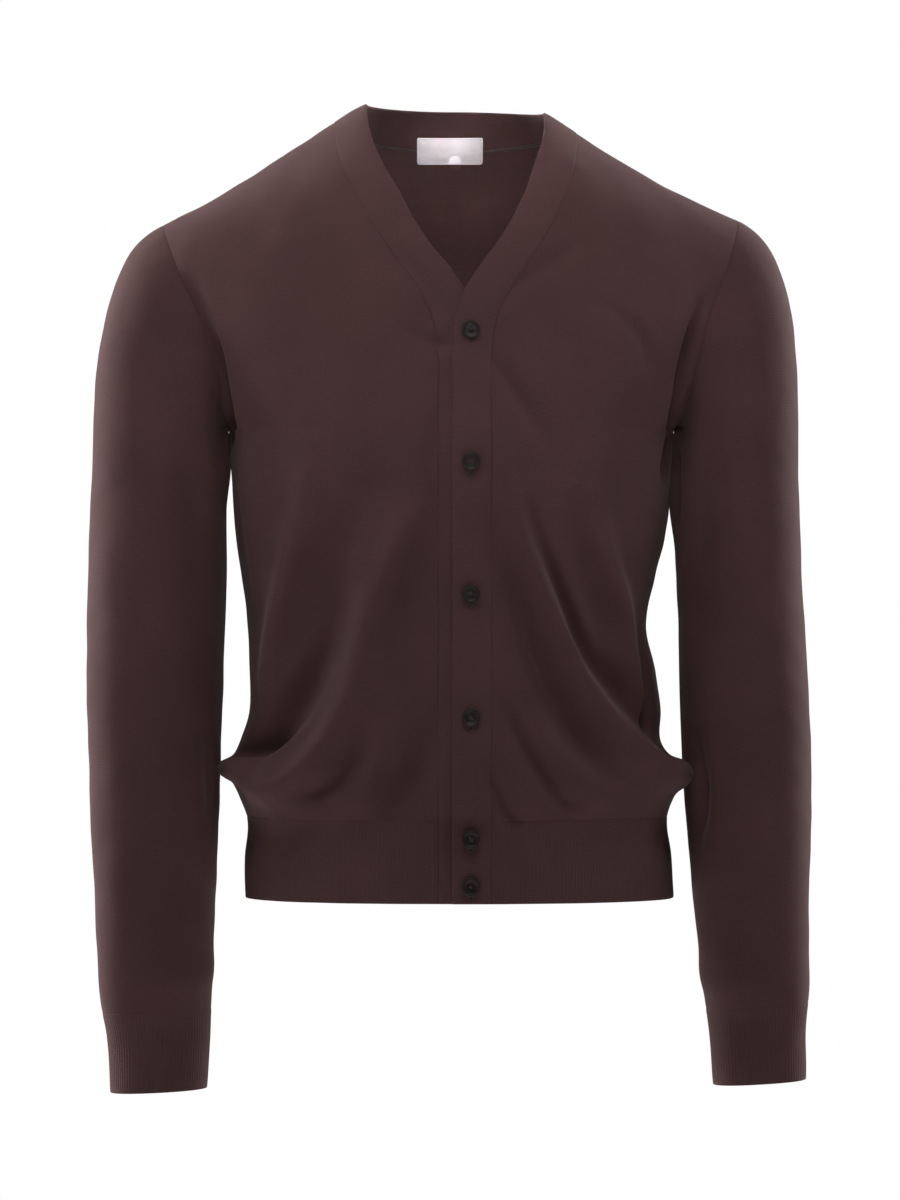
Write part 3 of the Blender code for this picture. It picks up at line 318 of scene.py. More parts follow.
# --- Main folds ---------------------------------------------------------------------------
# A fold follows its points. The rise is outwards, or inwards where negative, and the spread
# is its half width. Fronts and back give x and height as seen from the front.
FRONT_FOLDS = {
    "left drag ridge": (
        # x, height, rise, spread
        (-12, -238, 0, 11),
        (-18, -260, 2, 12),
        (-25, -289, 4.5, 13),
        (-37, -320, 7.5, 13),
        (-50, -353, 9.5, 12.5),
        (-62, -382, 11, 12),
        (-70, -415, 12, 12),
        (-77, -447, 13.5, 12.5),
        (-87, -473, 15, 13.5),
        (-100, -496, 15, 15),
        (-118, -515, 14, 15),
        (-139, -525, 12, 14),
        (-157, -526, 6, 12),
    ),
    "left drag hollow": (
        (-68, -289, 0, 16),
        (-78, -321, -4.5, 18),
        (-88, -352, -8, 18),
        (-93, -382, -13, 17),
        (-100, -416, -15, 17),
        (-111, -440, -18, 17),
        (-123, -461, -19, 17),
        (-137, -478, -18, 15),
        (-151, -491, -14, 13),
        (-165, -501, 0, 10),
    ),
    "left wide hollow": (
        (-104, -321, 0, 26),
        (-109, -355, -4.5, 27),
        (-113, -390, -6, 25),
        (-121, -420, -5.5, 22),
        (-129, -446, 0, 18),
    ),
    "left side ridge": (
        (-109, -253, 0, 16),
        (-115, -291, 4, 15),
        (-119, -325, 7, 14),
        (-126, -355, 10, 13),
        (-132, -384, 11, 13),
        (-139, -412, 9, 12),
        (-145, -437, 5, 12),
        (-150, -458, 0, 10),
    ),
    "left inner slope": (
        (-6, -260, 0, 10),
        (-14, -291, -3.5, 12),
        (-22, -325, -5, 13),
        (-34, -355, -7, 13),
        (-44, -386, -8, 13),
        (-50, -420, -5, 15),
        (-57, -450, 0, 16),
    ),
    "left under ridge": (
        (-142, -538, 0, 9),
        (-124, -529, -5, 10),
        (-103, -525, -8, 11),
        (-84, -516, -8, 11),
        (-71, -501, -5, 11),
        (-63, -481, 0, 11),
    ),
    "left pouch hollow": (
        (-7, -450, 0, 12),
        (-14, -473, -4, 13),
        (-24, -496, -7, 14),
        (-36, -519, -9, 14),
        (-47, -537, -7, 12),
        (-54, -551, 0, 9),
    ),
    "left pouch swell": (
        (-39, -450, 0, 16),
        (-53, -481, 4, 16),
        (-63, -515, 4, 15),
        (-71, -542, 0, 12),
    ),
    "left hip nub": (
        (-151, -508, 0, 10),
        (-160, -510, 7, 9.5),
        (-168, -512, 12, 8.5),
        (-174, -513, 11, 7),
        (-178, -513, 8, 6),
    ),
    "left nub crease": (
        (-130, -479, 0, 7),
        (-144, -487, -5, 7),
        (-155, -494, -8, 7),
        (-164, -500, -7, 6),
        (-170, -505, 0, 6),
    ),
    "right drag ridge": (
        (20, -218, 0, 10),
        (27, -242, 2, 11),
        (35, -273, 4.5, 11),
        (42, -303, 7, 11),
        (51, -333, 9, 11),
        (61, -359, 10.5, 10.5),
        (70, -385, 11.5, 10.5),
        (81, -412, 12.5, 10.5),
        (93, -440, 13.5, 11),
        (107, -461, 14, 12),
        (122, -480, 14, 12.5),
        (139, -495, 13, 13),
        (154, -509, 11, 13),
        (166, -516, 8, 12),
        (175, -519, 2, 12),
    ),
    "right drag crease": (
        (39, -267, 0, 7),
        (47, -297, -4, 7),
        (57, -324, -6, 7),
        (66, -346, -8, 6.5),
        (76, -369, -9.5, 6.5),
        (86, -391, -11, 7),
        (96, -412, -12.5, 8),
        (108, -429, -14, 11),
        (123, -443, -15.5, 15),
        (136, -458, -14, 16),
        (145, -475, -9, 12),
        (149, -488, 0, 9),
    ),
    "right outer ridge": (
        (98, -260, 0, 15),
        (102, -298, 4, 13),
        (108, -329, 6.5, 12),
        (118, -359, 8.5, 11),
        (126, -385, 9, 10.5),
        (132, -408, 6, 10),
        (136, -425, 0, 9),
    ),
    "right outer hollow": (
        (80, -298, 0, 12),
        (88, -333, -3, 12),
        (97, -363, -4.5, 11),
        (106, -391, -5, 11),
        (115, -416, -5, 11),
        (124, -434, 0, 11),
    ),
    "right flank crease": (
        (140, -396, 0, 6),
        (144, -416, -3, 6),
        (149, -439, -7, 6),
        (152, -460, -9, 6),
        (151, -478, -9, 6),
        (149, -490, 0, 6),
    ),
    "right inner hollow": (
        (26, -306, 0, 11),
        (33, -340, -4, 12),
        (42, -373, -6.5, 12),
        (51, -405, -8.5, 12.5),
        (62, -434, -9.5, 13),
        (74, -459, -9.5, 13.5),
        (89, -484, -10.5, 13.5),
        (108, -504, -9, 12),
        (128, -522, -5, 10),
        (148, -529, 0, 9),
    ),
    "right pouch crease": (
        (28, -450, 0, 7),
        (37, -467, -3.5, 7),
        (48, -487, -5.5, 7.5),
        (61, -507, -7, 8),
        (72, -523, -8, 8),
        (82, -534, -6, 8),
        (93, -535, -3.5, 8),
        (104, -528, 0, 8),
    ),
    "right pouch swell": (
        (45, -450, 0, 12),
        (57, -473, 1.5, 12),
        (70, -497, 2.5, 12),
        (90, -523, 2.5, 12),
        (115, -538, 0, 12),
    ),
    "right small crease": (
        (20, -502, 0, 7),
        (26, -519, -4, 7),
        (34, -534, -6.5, 7),
        (42, -546, -4, 7),
        (48, -555, 0, 7),
    ),
    "right hip nub": (
        (151, -515, 0, 11),
        (161, -516, 5.5, 10.5),
        (171, -517, 10, 9.5),
        (177, -517, 8, 8),
    ),
    "left armhole hollow": (
        (-211, -130, 0, 9),
        (-198, -163, -8, 9),
        (-189, -189, -13, 9),
        (-184, -209, -15, 8.5),
        (-179, -230, -15, 8),
        (-175, -247, -12, 7.5),
        (-171, -260, 0, 7),
    ),
    "right armhole hollow": (
        (191, -148, 0, 5),
        (186, -166, -7, 5),
        (181, -186, -12, 5.5),
        (177, -204, -16, 5.5),
        (174, -222, -18, 5.5),
        (170, -239, -17, 5.5),
        (166, -257, -12, 6),
        (162, -277, -6, 6),
        (159, -294, 0, 6),
    ),
    "right armhole roll": (
        (180, -125, 0, 9),
        (174, -154, 1.5, 9),
        (165, -188, 2, 10),
        (157, -226, 2, 10),
        (152, -260, 0, 10),
    ),
    "right chest crease": (
        (101, -153, 0, 7),
        (114, -159, -1.8, 7),
        (127, -166, -3.2, 7),
        (139, -176, -4, 7),
        (146, -191, -3.5, 7.5),
        (151, -210, -2, 8),
        (152, -234, 0, 9),
    ),
    "right chest swell": (
        (87, -177, 0, 24),
        (115, -192, 2.5, 24),
        (131, -215, 2.5, 22),
        (137, -245, 0, 22),
    ),
    "left chest pull": (
        (-51, -113, 0, 8),
        (-39, -124, -3, 8),
        (-24, -139, -4, 8),
        (-12, -154, -2.5, 7),
        (-2, -168, 0, 7),
    ),
    "right chest pull": (
        (115, -98, 0, 9),
        (96, -109, -3, 9),
        (77, -121, -4, 9),
        (55, -136, -4, 8),
        (38, -153, -2.5, 7),
        (25, -168, 0, 7),
    ),
    "left button pull": (
        (-51, -177, 0, 9),
        (-31, -181, -2.5, 8),
        (-13, -188, -4.5, 7),
        (1, -186, 0, 6),
    ),
    "right button pull": (
        (22, -188, 0, 7),
        (34, -206, -3.5, 8),
        (48, -229, -5, 8),
        (64, -251, -3.5, 9),
        (80, -274, 0, 9),
    ),
    "left second pull": (
        (-7, -222, 0, 7),
        (-12, -245, -3, 8),
        (-19, -268, -4.5, 9),
        (-28, -295, -3.5, 9),
        (-39, -321, 0, 9),
    ),
    "left flank ridge": (
        (-167, -283, 0, 9),
        (-160, -321, 2, 9),
        (-156, -359, 2, 9),
        (-154, -390, 0, 9),
    ),
}
BACK_FOLDS = {
    "left neck fold": (
        (-44, -46, 0, 8),
        (-36, -66, 1.8, 9),
        (-24, -94, 2, 10),
        (-16, -130, 0, 10),
    ),
    "middle neck fold": (
        (2, -38, 0, 7),
        (5, -58, -1.8, 7),
        (9, -84, -2.2, 8),
        (13, -112, -1, 9),
        (16, -140, 0, 10),
    ),
    "right neck fold": (
        (24, -54, 0, 8),
        (28, -78, 2, 8),
        (30, -104, 2, 9),
        (28, -136, 0, 10),
    ),
    "left side roll": (
        (-170, -226, 0, 10),
        (-171, -250, 4, 11),
        (-171, -268, 3.5, 12),
        (-170, -292, 0, 12),
    ),
    "right side roll": (
        (166, -236, 0, 12),
        (167, -262, 3, 12),
        (165, -300, 3, 12),
        (161, -326, 1, 12),
        (158, -340, 0, 12),
    ),
    "left blade hollow": (
        (-70, -150, 0, 24),
        (-112, -200, -4, 26),
        (-140, -262, -4, 22),
        (-152, -300, 0, 18),
    ),
    "right blade hollow": (
        (84, -158, 0, 24),
        (118, -212, -4, 26),
        (138, -270, -3, 22),
        (146, -305, 0, 18),
    ),
    "left back drag ridge": (
        (-40, -318, 0, 20),
        (-66, -372, 4, 23),
        (-94, -432, 7, 24),
        (-124, -478, 8, 22),
        (-152, -502, 5, 18),
    ),
    "left back trough": (
        (-90, -330, 0, 20),
        (-114, -395, -5, 22),
        (-138, -442, -6, 20),
        (-150, -468, 0, 16),
    ),
    "right back drag ridge": (
        (30, -340, 0, 20),
        (58, -398, 4, 23),
        (90, -446, 7, 24),
        (122, -484, 8, 22),
        (152, -506, 5, 18),
    ),
    "right back trough": (
        (82, -338, 0, 20),
        (108, -398, -5, 21),
        (130, -438, -6, 20),
        (144, -466, 0, 16),
    ),
    "back pouch trough": (
        (-56, -490, 0, 18),
        (-14, -516, -5, 20),
        (34, -510, -4, 20),
        (70, -490, 0, 16),
    ),
    "small of back ridge": (
        (-44, -432, 0, 18),
        (-8, -450, 3, 20),
        (38, -438, 0, 18),
    ),
}
# On a sleeve the first number is the turn in degrees: 0 is the outer line, 90 the front, 180
# the inner line and 270 the back.
BOTH_SLEEVES = {
    "underarm crease": (
        # turn, height, rise, spread
        (104, -236, 0, 12),
        (120, -290, -4, 14),
        (128, -350, -4, 13),
        (134, -400, 0, 11),
    ),
    "elbow fold": (
        (206, -470, 0, 11),
        (240, -486, -3, 12),
        (286, -482, -2.5, 12),
        (322, -470, 0, 11),
    ),
    "lower elbow fold": (
        (214, -530, 0, 11),
        (254, -541, -3, 12),
        (302, -534, 0, 11),
    ),
    "back arm crease": (
        (292, -310, 0, 14),
        (270, -372, -3, 15),
        (254, -430, 0, 13),
    ),
    "cuff blouse": (
        (60, -668, 0, 12),
        (110, -678, 3, 12),
        (170, -672, 2, 12),
        (220, -664, 0, 12),
    ),
}
SLEEVE_FOLDS = {
    -1: {
        **BOTH_SLEEVES,
        "underarm roll": (
            (158, -240, 0, 9),
            (160, -254, 5, 10),
            (162, -272, 6, 10),
            (164, -292, 4, 10),
            (166, -316, 0, 10),
        ),
        "pressed hollow": (
            (140, -478, 0, 8),
            (146, -505, -4, 8),
            (150, -530, -4, 8),
            (150, -560, 0, 8),
        ),
    },
    1: {
        **BOTH_SLEEVES,
        "underarm roll": (
            (156, -240, 0, 10),
            (160, -256, 6, 11),
            (162, -284, 7.5, 11),
            (162, -312, 7, 11),
            (164, -332, 3, 10),
            (166, -350, 0, 10),
        ),
        "inner crease": (
            (156, -256, 0, 5),
            (157, -272, -8, 5.5),
            (158, -300, -9, 5.5),
            (158, -318, -5, 5.5),
            (160, -330, 0, 5),
        ),
        "pressed hollow": (
            (138, -478, 0, 7),
            (140, -500, -6, 7.5),
            (138, -522, -10, 8.5),
            (140, -545, -9, 8),
            (146, -566, -4, 7),
            (150, -582, 0, 7),
        ),
    },
}
# --- Curves through the tables ------------------------------------------------------------
def smooth_through(xs, ys, at, level_end=False):
    """A smooth curve through the points (xs, ys), read at the given places. It may end level."""
    xs = np.asarray(xs, float)
    ys = np.asarray(ys, float)
    slopes = np.gradient(ys, xs)
    if level_end:
        slopes[-1] = 0
    at = np.clip(at, xs[0], xs[-1])
    low = np.clip(np.searchsorted(xs, at, side="right") - 1, 0, len(xs) - 2)
    span = xs[low + 1] - xs[low]
    t = (at - xs[low]) / span
    start = (1 + 2 * t) * (1 - t) ** 2
    end = t * t * (3 - 2 * t)
    leave = t * (1 - t) ** 2
    arrive = t * t * (t - 1)
    bow = span * (leave * slopes[low] + arrive * slopes[low + 1])
    return start * ys[low] + end * ys[low + 1] + bow


def column(table, index):
    return np.array([row[index] for row in table], float)


def ease(low, high, value):
    """0 up to low, 1 from high on, smooth between."""
    t = np.clip((np.asarray(value, float) - low) / (high - low), 0, 1)
    return t * t * (3 - 2 * t)


def unit(vectors):
    return vectors / np.maximum(np.linalg.norm(vectors, axis=-1, keepdims=True), 1e-12)


# --- The torso's surface ------------------------------------------------------------------
def ring_point(turn, left, right, front, back, middle):
    """A point of a ring. Turn is in degrees: 0 is the front, 90 the right side, 180 the back."""
    turn = np.radians(turn)
    sine = np.sin(turn)
    cosine = np.cos(turn)
    reach = np.where(sine < 0, left, right)
    depth = np.where(cosine > 0, front, back)
    x = np.sign(sine) * reach * np.abs(sine) ** (2 / RING_POWER)
    y = middle - np.sign(cosine) * depth * np.abs(cosine) ** (2 / RING_POWER)
    return x, y


def yoke_share(turn, row):
    return np.where(
        np.cos(np.radians(turn)) > 0,
        smooth_through(range(len(YOKE)), column(YOKE, 6), row),
        smooth_through(range(len(YOKE)), column(YOKE, 7), row),
    )


def slope_part(ratio):
    """How much of the way from the neck to the shoulder's end a ring has sloped, softly begun."""
    start = NECK_HALF / YOKE[-1][3]
    past = (ratio - start) / (1 - start)
    full = (1 + math.sqrt(1 + SLOPE_SOFT**2)) / 2
    return (past + np.sqrt(past * past + SLOPE_SOFT**2)) / 2 / full


def torso_form(turn, level):
    """The torso without folds. Level is -1 at the hem, 0 at the armpits and 1 at the shoulders."""
    turn, level = np.broadcast_arrays(np.asarray(turn, float), np.asarray(level, float))
    height = ARMPIT + np.minimum(level, 0) * (ARMPIT - HEM)
    heights = column(BODY, 0)
    left, right, front, back = (smooth_through(heights, column(BODY, k), height) for k in (1, 2, 3, 4))
    low_x, low_y = ring_point(turn, left, right, front, back, MIDDLE)

    row = np.clip(level, 0, 1) * YOKE_STEPS
    rows = range(len(YOKE))
    front, back = (smooth_through(rows, column(YOKE, k), row) for k in (1, 2))
    ring_height, left, right, edge_height = (
        smooth_through(rows, column(YOKE, k), row, level_end=True) for k in (0, 3, 4, 5)
    )
    share = yoke_share(turn, row)
    widen = (1 - share**RING_POWER) ** (-1 / RING_POWER)
    middle = MIDDLE * (1 - np.clip(level, 0, 1) ** 2)
    x, y = ring_point(turn, left * widen, right * widen, front, back, middle)
    on_left = np.sin(np.radians(turn)) < 0
    part = slope_part(np.abs(x) / np.where(on_left, left, right))
    lift, sag = (np.where(on_left, *pair) for pair in (SHOULDER_LIFT, SHOULDER_SAG))
    tilt = NECK_TILT * np.sin(np.pi / 2 * np.clip(x / NECK_HALF, -1, 1)) * (1 - part) ** 3
    shoulder = lift * part - sag * np.sin(np.pi * np.clip(part, 0, 1)) - tilt
    z = ring_height + (edge_height - ring_height) * part + ease(SHOULDER_FADE, 1, level) * shoulder
    upper = level > 0
    x = np.where(upper, x, low_x)
    y = np.where(upper, y, low_y)
    return np.stack([x, y, np.where(upper, z, height)], -1)


def turn_of_x(x, level, behind=False):
    """The turn at which the torso's ring passes over x."""
    side = np.sign(x)
    widest = 180 - 89.9999 * side if behind else 89.9999 * side
    reach = np.abs(torso_form(widest, level)[..., 0])
    away = side * np.degrees(np.arcsin(np.clip(np.abs(x) / reach, 0, 1) ** (RING_POWER / 2)))
    return 180 - away if behind else away


def armhole_turn(level, side, behind=False):
    """Where the armhole's edge lies on the ring at this level, and the side seam below it."""
    row = np.clip(level, 0, 1) * YOKE_STEPS
    share = smooth_through(range(len(YOKE)), column(YOKE, 7 if behind else 6), row)
    away = np.degrees(np.arccos(share ** (RING_POWER / 2)))
    return 180 - side * away if behind else side * away


def search(too_low, low, high):
    """The value between low and high at which too_low turns false, by halving, for arrays too."""
    low = np.array(low, float)
    high = np.array(high, float)
    for _ in range(HALVINGS):
        middle = (low + high) / 2
        below = too_low(middle)
        low = np.where(below, middle, low)
        high = np.where(below, high, middle)
    return (low + high) / 2


def level_at(x, height, behind=False):
    """The level whose ring passes through a point seen from the front."""
    x, height = np.broadcast_arrays(np.asarray(x, float), np.asarray(height, float))

    def too_low(level):
        return torso_form(turn_of_x(x, level, behind), level)[..., 2] < height

    above = search(too_low, 0 * x, 0 * x + 1)
    return np.where(height <= ARMPIT, (height - ARMPIT) / (ARMPIT - HEM), above)


# --- Folds --------------------------------------------------------------------------------
def fold_line(points, place):
    """A fold's points in space along a smooth line, with its rise and spread at each."""
    rows = np.array(points, float)
    far = np.linalg.norm(np.diff(rows[:, :2], axis=0), axis=1)
    along = np.concatenate([[0], np.cumsum(far)])
    fine = np.linspace(0, along[-1], FOLD_PARTS * (len(rows) - 1) + 1)
    a, b, rise, spread = (smooth_through(along, rows[:, k], fine) for k in range(4))
    return place(a, b), rise, spread


def fold_rise(points, lines):
    """How far each point is moved outwards by the folds."""
    total = np.zeros(points.shape[:-1]).ravel()
    flat = points.reshape(-1, 3)
    for ends, rises, spreads in lines:
        reach = FOLD_REACH * spreads.max()
        inside = (flat > ends.min(axis=0) - reach) & (flat < ends.max(axis=0) + reach)
        near = np.flatnonzero(inside.all(axis=1))
        if not len(near):
            continue
        here = flat[near, None] - ends[:-1]
        step = np.diff(ends, axis=0)
        length = np.sum(step * step, axis=-1) + TINY
        along = np.clip(np.sum(here * step, axis=-1) / length, 0, 1)
        away = np.sum((here - along[..., None] * step) ** 2, axis=-1)
        pick = away.argmin(axis=1)
        rows = np.arange(len(near))
        share = along[rows, pick]
        rise = rises[pick] + share * (rises[pick + 1] - rises[pick])
        spread = spreads[pick] + share * (spreads[pick + 1] - spreads[pick])
        total[near] += rise * np.exp(-away[rows, pick] / spread**2)
    return total.reshape(points.shape[:-1])


def drift(points):
    """Soft, slight unevenness of cloth that nothing pulls quite flat."""
    return np.sin(points @ DRIFT_WAVES.T + DRIFT_PHASES) @ DRIFT_RISES


def torso_place(behind):
    def place(x, height):
        level = level_at(x, height, behind)
        return torso_form(turn_of_x(x, level, behind), level)

    return place


TORSO_LINES = [fold_line(points, torso_place(False)) for points in FRONT_FOLDS.values()] + [
    fold_line(points, torso_place(True)) for points in BACK_FOLDS.values()
]


def directions(surface, u, v, nudge, v_low, v_high):
    """Outward directions of a surface, from small steps along it."""
    across = surface(u + nudge[0], v) - surface(u - nudge[0], v)
    up = surface(u, np.minimum(v + nudge[1], v_high)) - surface(u, np.maximum(v - nudge[1], v_low))
    return unit(np.cross(across, up))


def torso_form_out(turn, level):
    return directions(torso_form, turn, level, TORSO_NUDGE, -1, 1)


def lap_lift(points):
    """The upper front's extra height over the lower one, near the buttons."""
    fade = 1 - ease(0, LAP_FADE, points[..., 0] - NECKLINE[0][4])
    return LAP_LIFT * fade * (1 - ease(LAP_TOP[1], LAP_TOP[0], points[..., 2]))


def torso(turn, level, over=False):
    """The torso's outer face with its folds, on the upper or the lower layer of the lap."""
    turn, level = np.broadcast_arrays(np.asarray(turn, float), np.asarray(level, float))
    form = torso_form(turn, level)
    rise = fold_rise(form, TORSO_LINES) + drift(form)
    if over:
        rise = rise + lap_lift(form)
    return form + rise[..., None] * torso_form_out(turn, level)


# --- A sleeve's surface -------------------------------------------------------------------
def armhole_point(side, around):
    """A point of the armhole's edge, from the shoulder (0) by the front to the armpit (180)
    and back behind (360)."""
    around = np.mod(around, 360)
    behind = around > 180
    level = np.abs(around - 180) / 180
    turn = np.where(behind, armhole_turn(level, side, True), armhole_turn(level, side))
    return turn, level


def sleeve_ring(side, around, drop):
    """A ring of the lower sleeve. Drop is 0 at the first row and 1 at the cuff's edge."""
    table = SLEEVE_LEFT if side < 0 else SLEEVE_RIGHT
    at = np.clip(drop, 0, 1) * (table[0][0] - table[-1][0])
    along = table[0][0] - column(table, 0)
    height = table[0][0] - at
    numbers = (smooth_through(along, column(table, k), at) for k in range(1, 6))
    outer, inner, middle, half_depth, slant = numbers
    angle = np.radians(around)
    cosine = np.cos(angle)
    sine = np.sin(angle)
    sideways = np.sign(cosine) * np.abs(cosine) ** (2 / SLEEVE_POWER) * (outer - inner) / 2
    x = (outer + inner) / 2 + sideways
    y = middle - np.sign(sine) * np.abs(sine) ** (2 / SLEEVE_POWER) * half_depth
    return np.stack([x, y, height + slant * sideways], -1)


def sleeve_form(side):
    """The sleeve without folds, as a surface of turn and drop. Drop is -1 at the armhole."""
    angles = np.linspace(0, 360, ARMHOLE_SAMPLES, endpoint=False)
    edge = torso(*armhole_point(side, angles))

    def form(around, drop):
        around, drop = np.broadcast_arrays(np.asarray(around, float), np.asarray(drop, float))
        start = np.stack([np.interp(around, angles, edge[:, k], period=360) for k in range(3)], -1)
        end = sleeve_ring(side, around, 0 * drop)
        reach = np.linalg.norm(end - start, axis=-1, keepdims=True)
        low_share = (1 - np.cos(np.radians(around))) / 2
        lean = np.radians(CAP_LEAN[0] + (CAP_LEAN[1] - CAP_LEAN[0]) * low_share)
        leave = np.stack([side * np.cos(lean), 0 * lean, -np.sin(lean)], -1) * reach * CAP_PULL[0]
        arrive = unit(sleeve_ring(side, around, 0 * drop + 0.01) - end) * reach * CAP_PULL[1]
        t = np.clip(drop + 1, 0, 1)[..., None]
        cap = (1 + 2 * t) * (1 - t) ** 2 * start + t * t * (3 - 2 * t) * end
        cap = cap + t * (1 - t) ** 2 * leave + t * t * (t - 1) * arrive
        return np.where((drop < 0)[..., None], cap, sleeve_ring(side, around, drop))

    return form


def sleeve(side):
    """The sleeve's outer face with its folds."""
    form = sleeve_form(side)

    def place(around, height):
        table = SLEEVE_LEFT if side < 0 else SLEEVE_RIGHT
        drops = np.linspace(-1, 0, CAP_SAMPLES)
        cap = form(around[:, None], drops)[..., 2]
        upper = drops[np.abs(cap - height[:, None]).argmin(axis=1)]
        lower = (table[0][0] - height) / (table[0][0] - table[-1][0])
        return form(around, np.where(height <= table[0][0], lower, upper))

    lines = [fold_line(points, place) for points in SLEEVE_FOLDS[side].values()]

    def surface(around, drop):
        around, drop = np.broadcast_arrays(np.asarray(around, float), np.asarray(drop, float))
        base = form(around, drop)
        out = side * directions(form, around, drop, SLEEVE_NUDGE, -1, 1)
        settle = ease(-1, CAP_STILL, drop)
        rise = (fold_rise(base, lines) + drift(base)) * settle
        return base + rise[..., None] * out

    return surface


# --- Shells -------------------------------------------------------------------------------
def grid_out(face, tube=False):
    """Outward directions of a grid of points. A tube's rings lie along its rows."""
    if tube:
        across = np.roll(face, -1, axis=1) - np.roll(face, 1, axis=1)
        centre = face.mean(axis=1, keepdims=True)
    else:
        across = np.gradient(face, axis=1)
        centre = face * (0, 0, 1)
    out = unit(np.cross(across, np.gradient(face, axis=0)))
    return out if np.sum(out * (face - centre)) > 0 else -out


def lengths(face, axis):
    """How far each point of a grid lies along its row or column, from the start."""
    step = np.linalg.norm(np.diff(face, axis=axis), axis=-1)
    start = np.zeros_like(np.take(step, [0], axis=axis))
    return np.concatenate([start, np.cumsum(step, axis=axis)], axis=axis)


def sunk(face, thickness, edges):
    """How far the outer and the inner face sink into the cloth near its edges."""
    outer = np.zeros(face.shape[:2])
    inner = np.zeros(face.shape[:2])
    radius = thickness / 2
    for edge, kind in edges.items():
        axis = 0 if "row" in edge else 1
        away = lengths(face, axis)
        if "last" in edge:
            away = np.take(away, [-1], axis=axis) - away
        if kind == "seam":
            outer = np.maximum(outer, SEAM_DEPTH * (1 - np.clip(away / SEAM_WIDTH, 0, 1)) ** 2)
        else:
            inside = radius - np.clip(away, 0, radius)
            round_off = radius - np.sqrt(np.maximum(radius**2 - inside**2, 0))
            outer = np.maximum(outer, RIM_SHARE * round_off)
            inner = np.maximum(inner, RIM_SHARE * round_off)
    return outer, inner


def draw_in(face, out, edges, tube=False):
    """Moves a grid's seamed edges half a gap back from the seam, along the cloth."""
    moved = face.copy()
    everything = slice(None)
    picks = {
        "first row": ((0, everything), (1, everything)),
        "last row": ((-1, everything), (-2, everything)),
        "first column": ((everything, 0), (everything, 1)),
        "last column": ((everything, -1), (everything, -2)),
    }
    for edge, kind in edges.items():
        if kind != "seam":
            continue
        border, inside = picks[edge]
        line = face[border]
        along = np.roll(line, -1, axis=0) - np.roll(line, 1, axis=0) if tube else np.gradient(line, axis=0)
        inward = unit(np.cross(out[border], along))
        inward *= np.sign(np.sum(inward * (face[inside] - line), axis=-1, keepdims=True))
        moved[border] += inward * SEAM_GAP / 2
    return moved


def shell(name, outer, inner, material, tube=False):
    """A closed thin wall between two grids of points, with a flat map of the cloth in millimetres."""
    rows, cols = outer.shape[:2]
    spans = cols if tube else cols - 1
    row, col = np.meshgrid(np.arange(rows - 1), np.arange(spans), indexing="ij")
    row, col = row.ravel(), col.ravel()

    def corners(*places):
        """Quads as (layer, row, column) with the column left unwrapped."""
        return np.stack([np.stack([np.full_like(r, layer), r, c], -1) for layer, r, c in places], 1)

    quads = [
        corners((0, row, col), (0, row, col + 1), (0, row + 1, col + 1), (0, row + 1, col)),
        corners((1, row + 1, col), (1, row + 1, col + 1), (1, row, col + 1), (1, row, col)),
    ]
    line = np.arange(spans)
    for at, turned in ((0, False), (rows - 1, True)):
        here = np.full_like(line, at)
        rim = corners((0, here, line), (1, here, line), (1, here, line + 1), (0, here, line + 1))
        quads.append(rim[:, ::-1] if turned else rim)
    if not tube:
        line = np.arange(rows - 1)
        for at, turned in ((0, True), (cols - 1, False)):
            here = np.full_like(line, at)
            rim = corners((0, line, here), (1, line, here), (1, line + 1, here), (0, line + 1, here))
            quads.append(rim[:, ::-1] if turned else rim)
    quads = np.concatenate(quads)
    first = quads[0]
    a, b, c = (outer[r, k % cols] for _, r, k in first[:3])
    if np.cross(b - a, c - b) @ (outer[first[0, 1], first[0, 2]] - inner[first[0, 1], first[0, 2]]) < 0:
        quads = quads[:, ::-1]
    index = quads[..., 0] * rows * cols + quads[..., 1] * cols + quads[..., 2] % cols

    wide = np.concatenate([outer, outer[:, :1]], axis=1) if tube else outer
    across = lengths(wide, 1)
    upward = lengths(wide, 0)
    if tube:
        upward = upward - upward[-1]
        past_half = quads[..., 2].mean(axis=1, keepdims=True) > cols / 2
        wrapped = np.where(past_half, across[quads[..., 1], -1], 0)
    else:
        wrapped = across[quads[..., 1], cols // 2]
    across = across[quads[..., 1], quads[..., 2]] - wrapped
    upward = upward[quads[..., 1], quads[..., 2]]
    mesh = bpy.data.meshes.new(name)
    points = np.concatenate([outer.reshape(-1, 3), inner.reshape(-1, 3)]) * MM
    mesh.vertices.add(len(points))
    mesh.vertices.foreach_set("co", points.ravel())
    mesh.loops.add(index.size)
    mesh.loops.foreach_set("vertex_index", index.ravel().astype(np.int32))
    mesh.polygons.add(len(index))
    mesh.polygons.foreach_set("loop_start", np.arange(0, index.size, 4, dtype=np.int32))
    mesh.update(calc_edges=True)
    flat_map = mesh.uv_layers.new(name="knit")
    flat_map.data.foreach_set("uv", np.stack([across, upward], -1).ravel())
    mesh.validate()
    mesh.shade_smooth()
    mesh.materials.append(material)
    piece = bpy.data.objects.new(name, mesh)
    bpy.context.scene.collection.objects.link(piece)
    return piece


def cloth(name, node, face, out, thickness, edges, finish, tube=False, relief=None):
    """A cloth piece that stands for a solid."""
    material, slot = finish
    face = draw_in(face, out, edges, tube)
    sink_outer, sink_inner = sunk(face, thickness, edges)
    raised = 0 if relief is None else relief
    outer = face + out * (raised - sink_outer)[..., None]
    inner = face - out * (thickness - sink_inner)[..., None]
    piece = shell(name, outer, inner, material, tube)
    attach(piece, ROOT)
    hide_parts(node)
    return piece


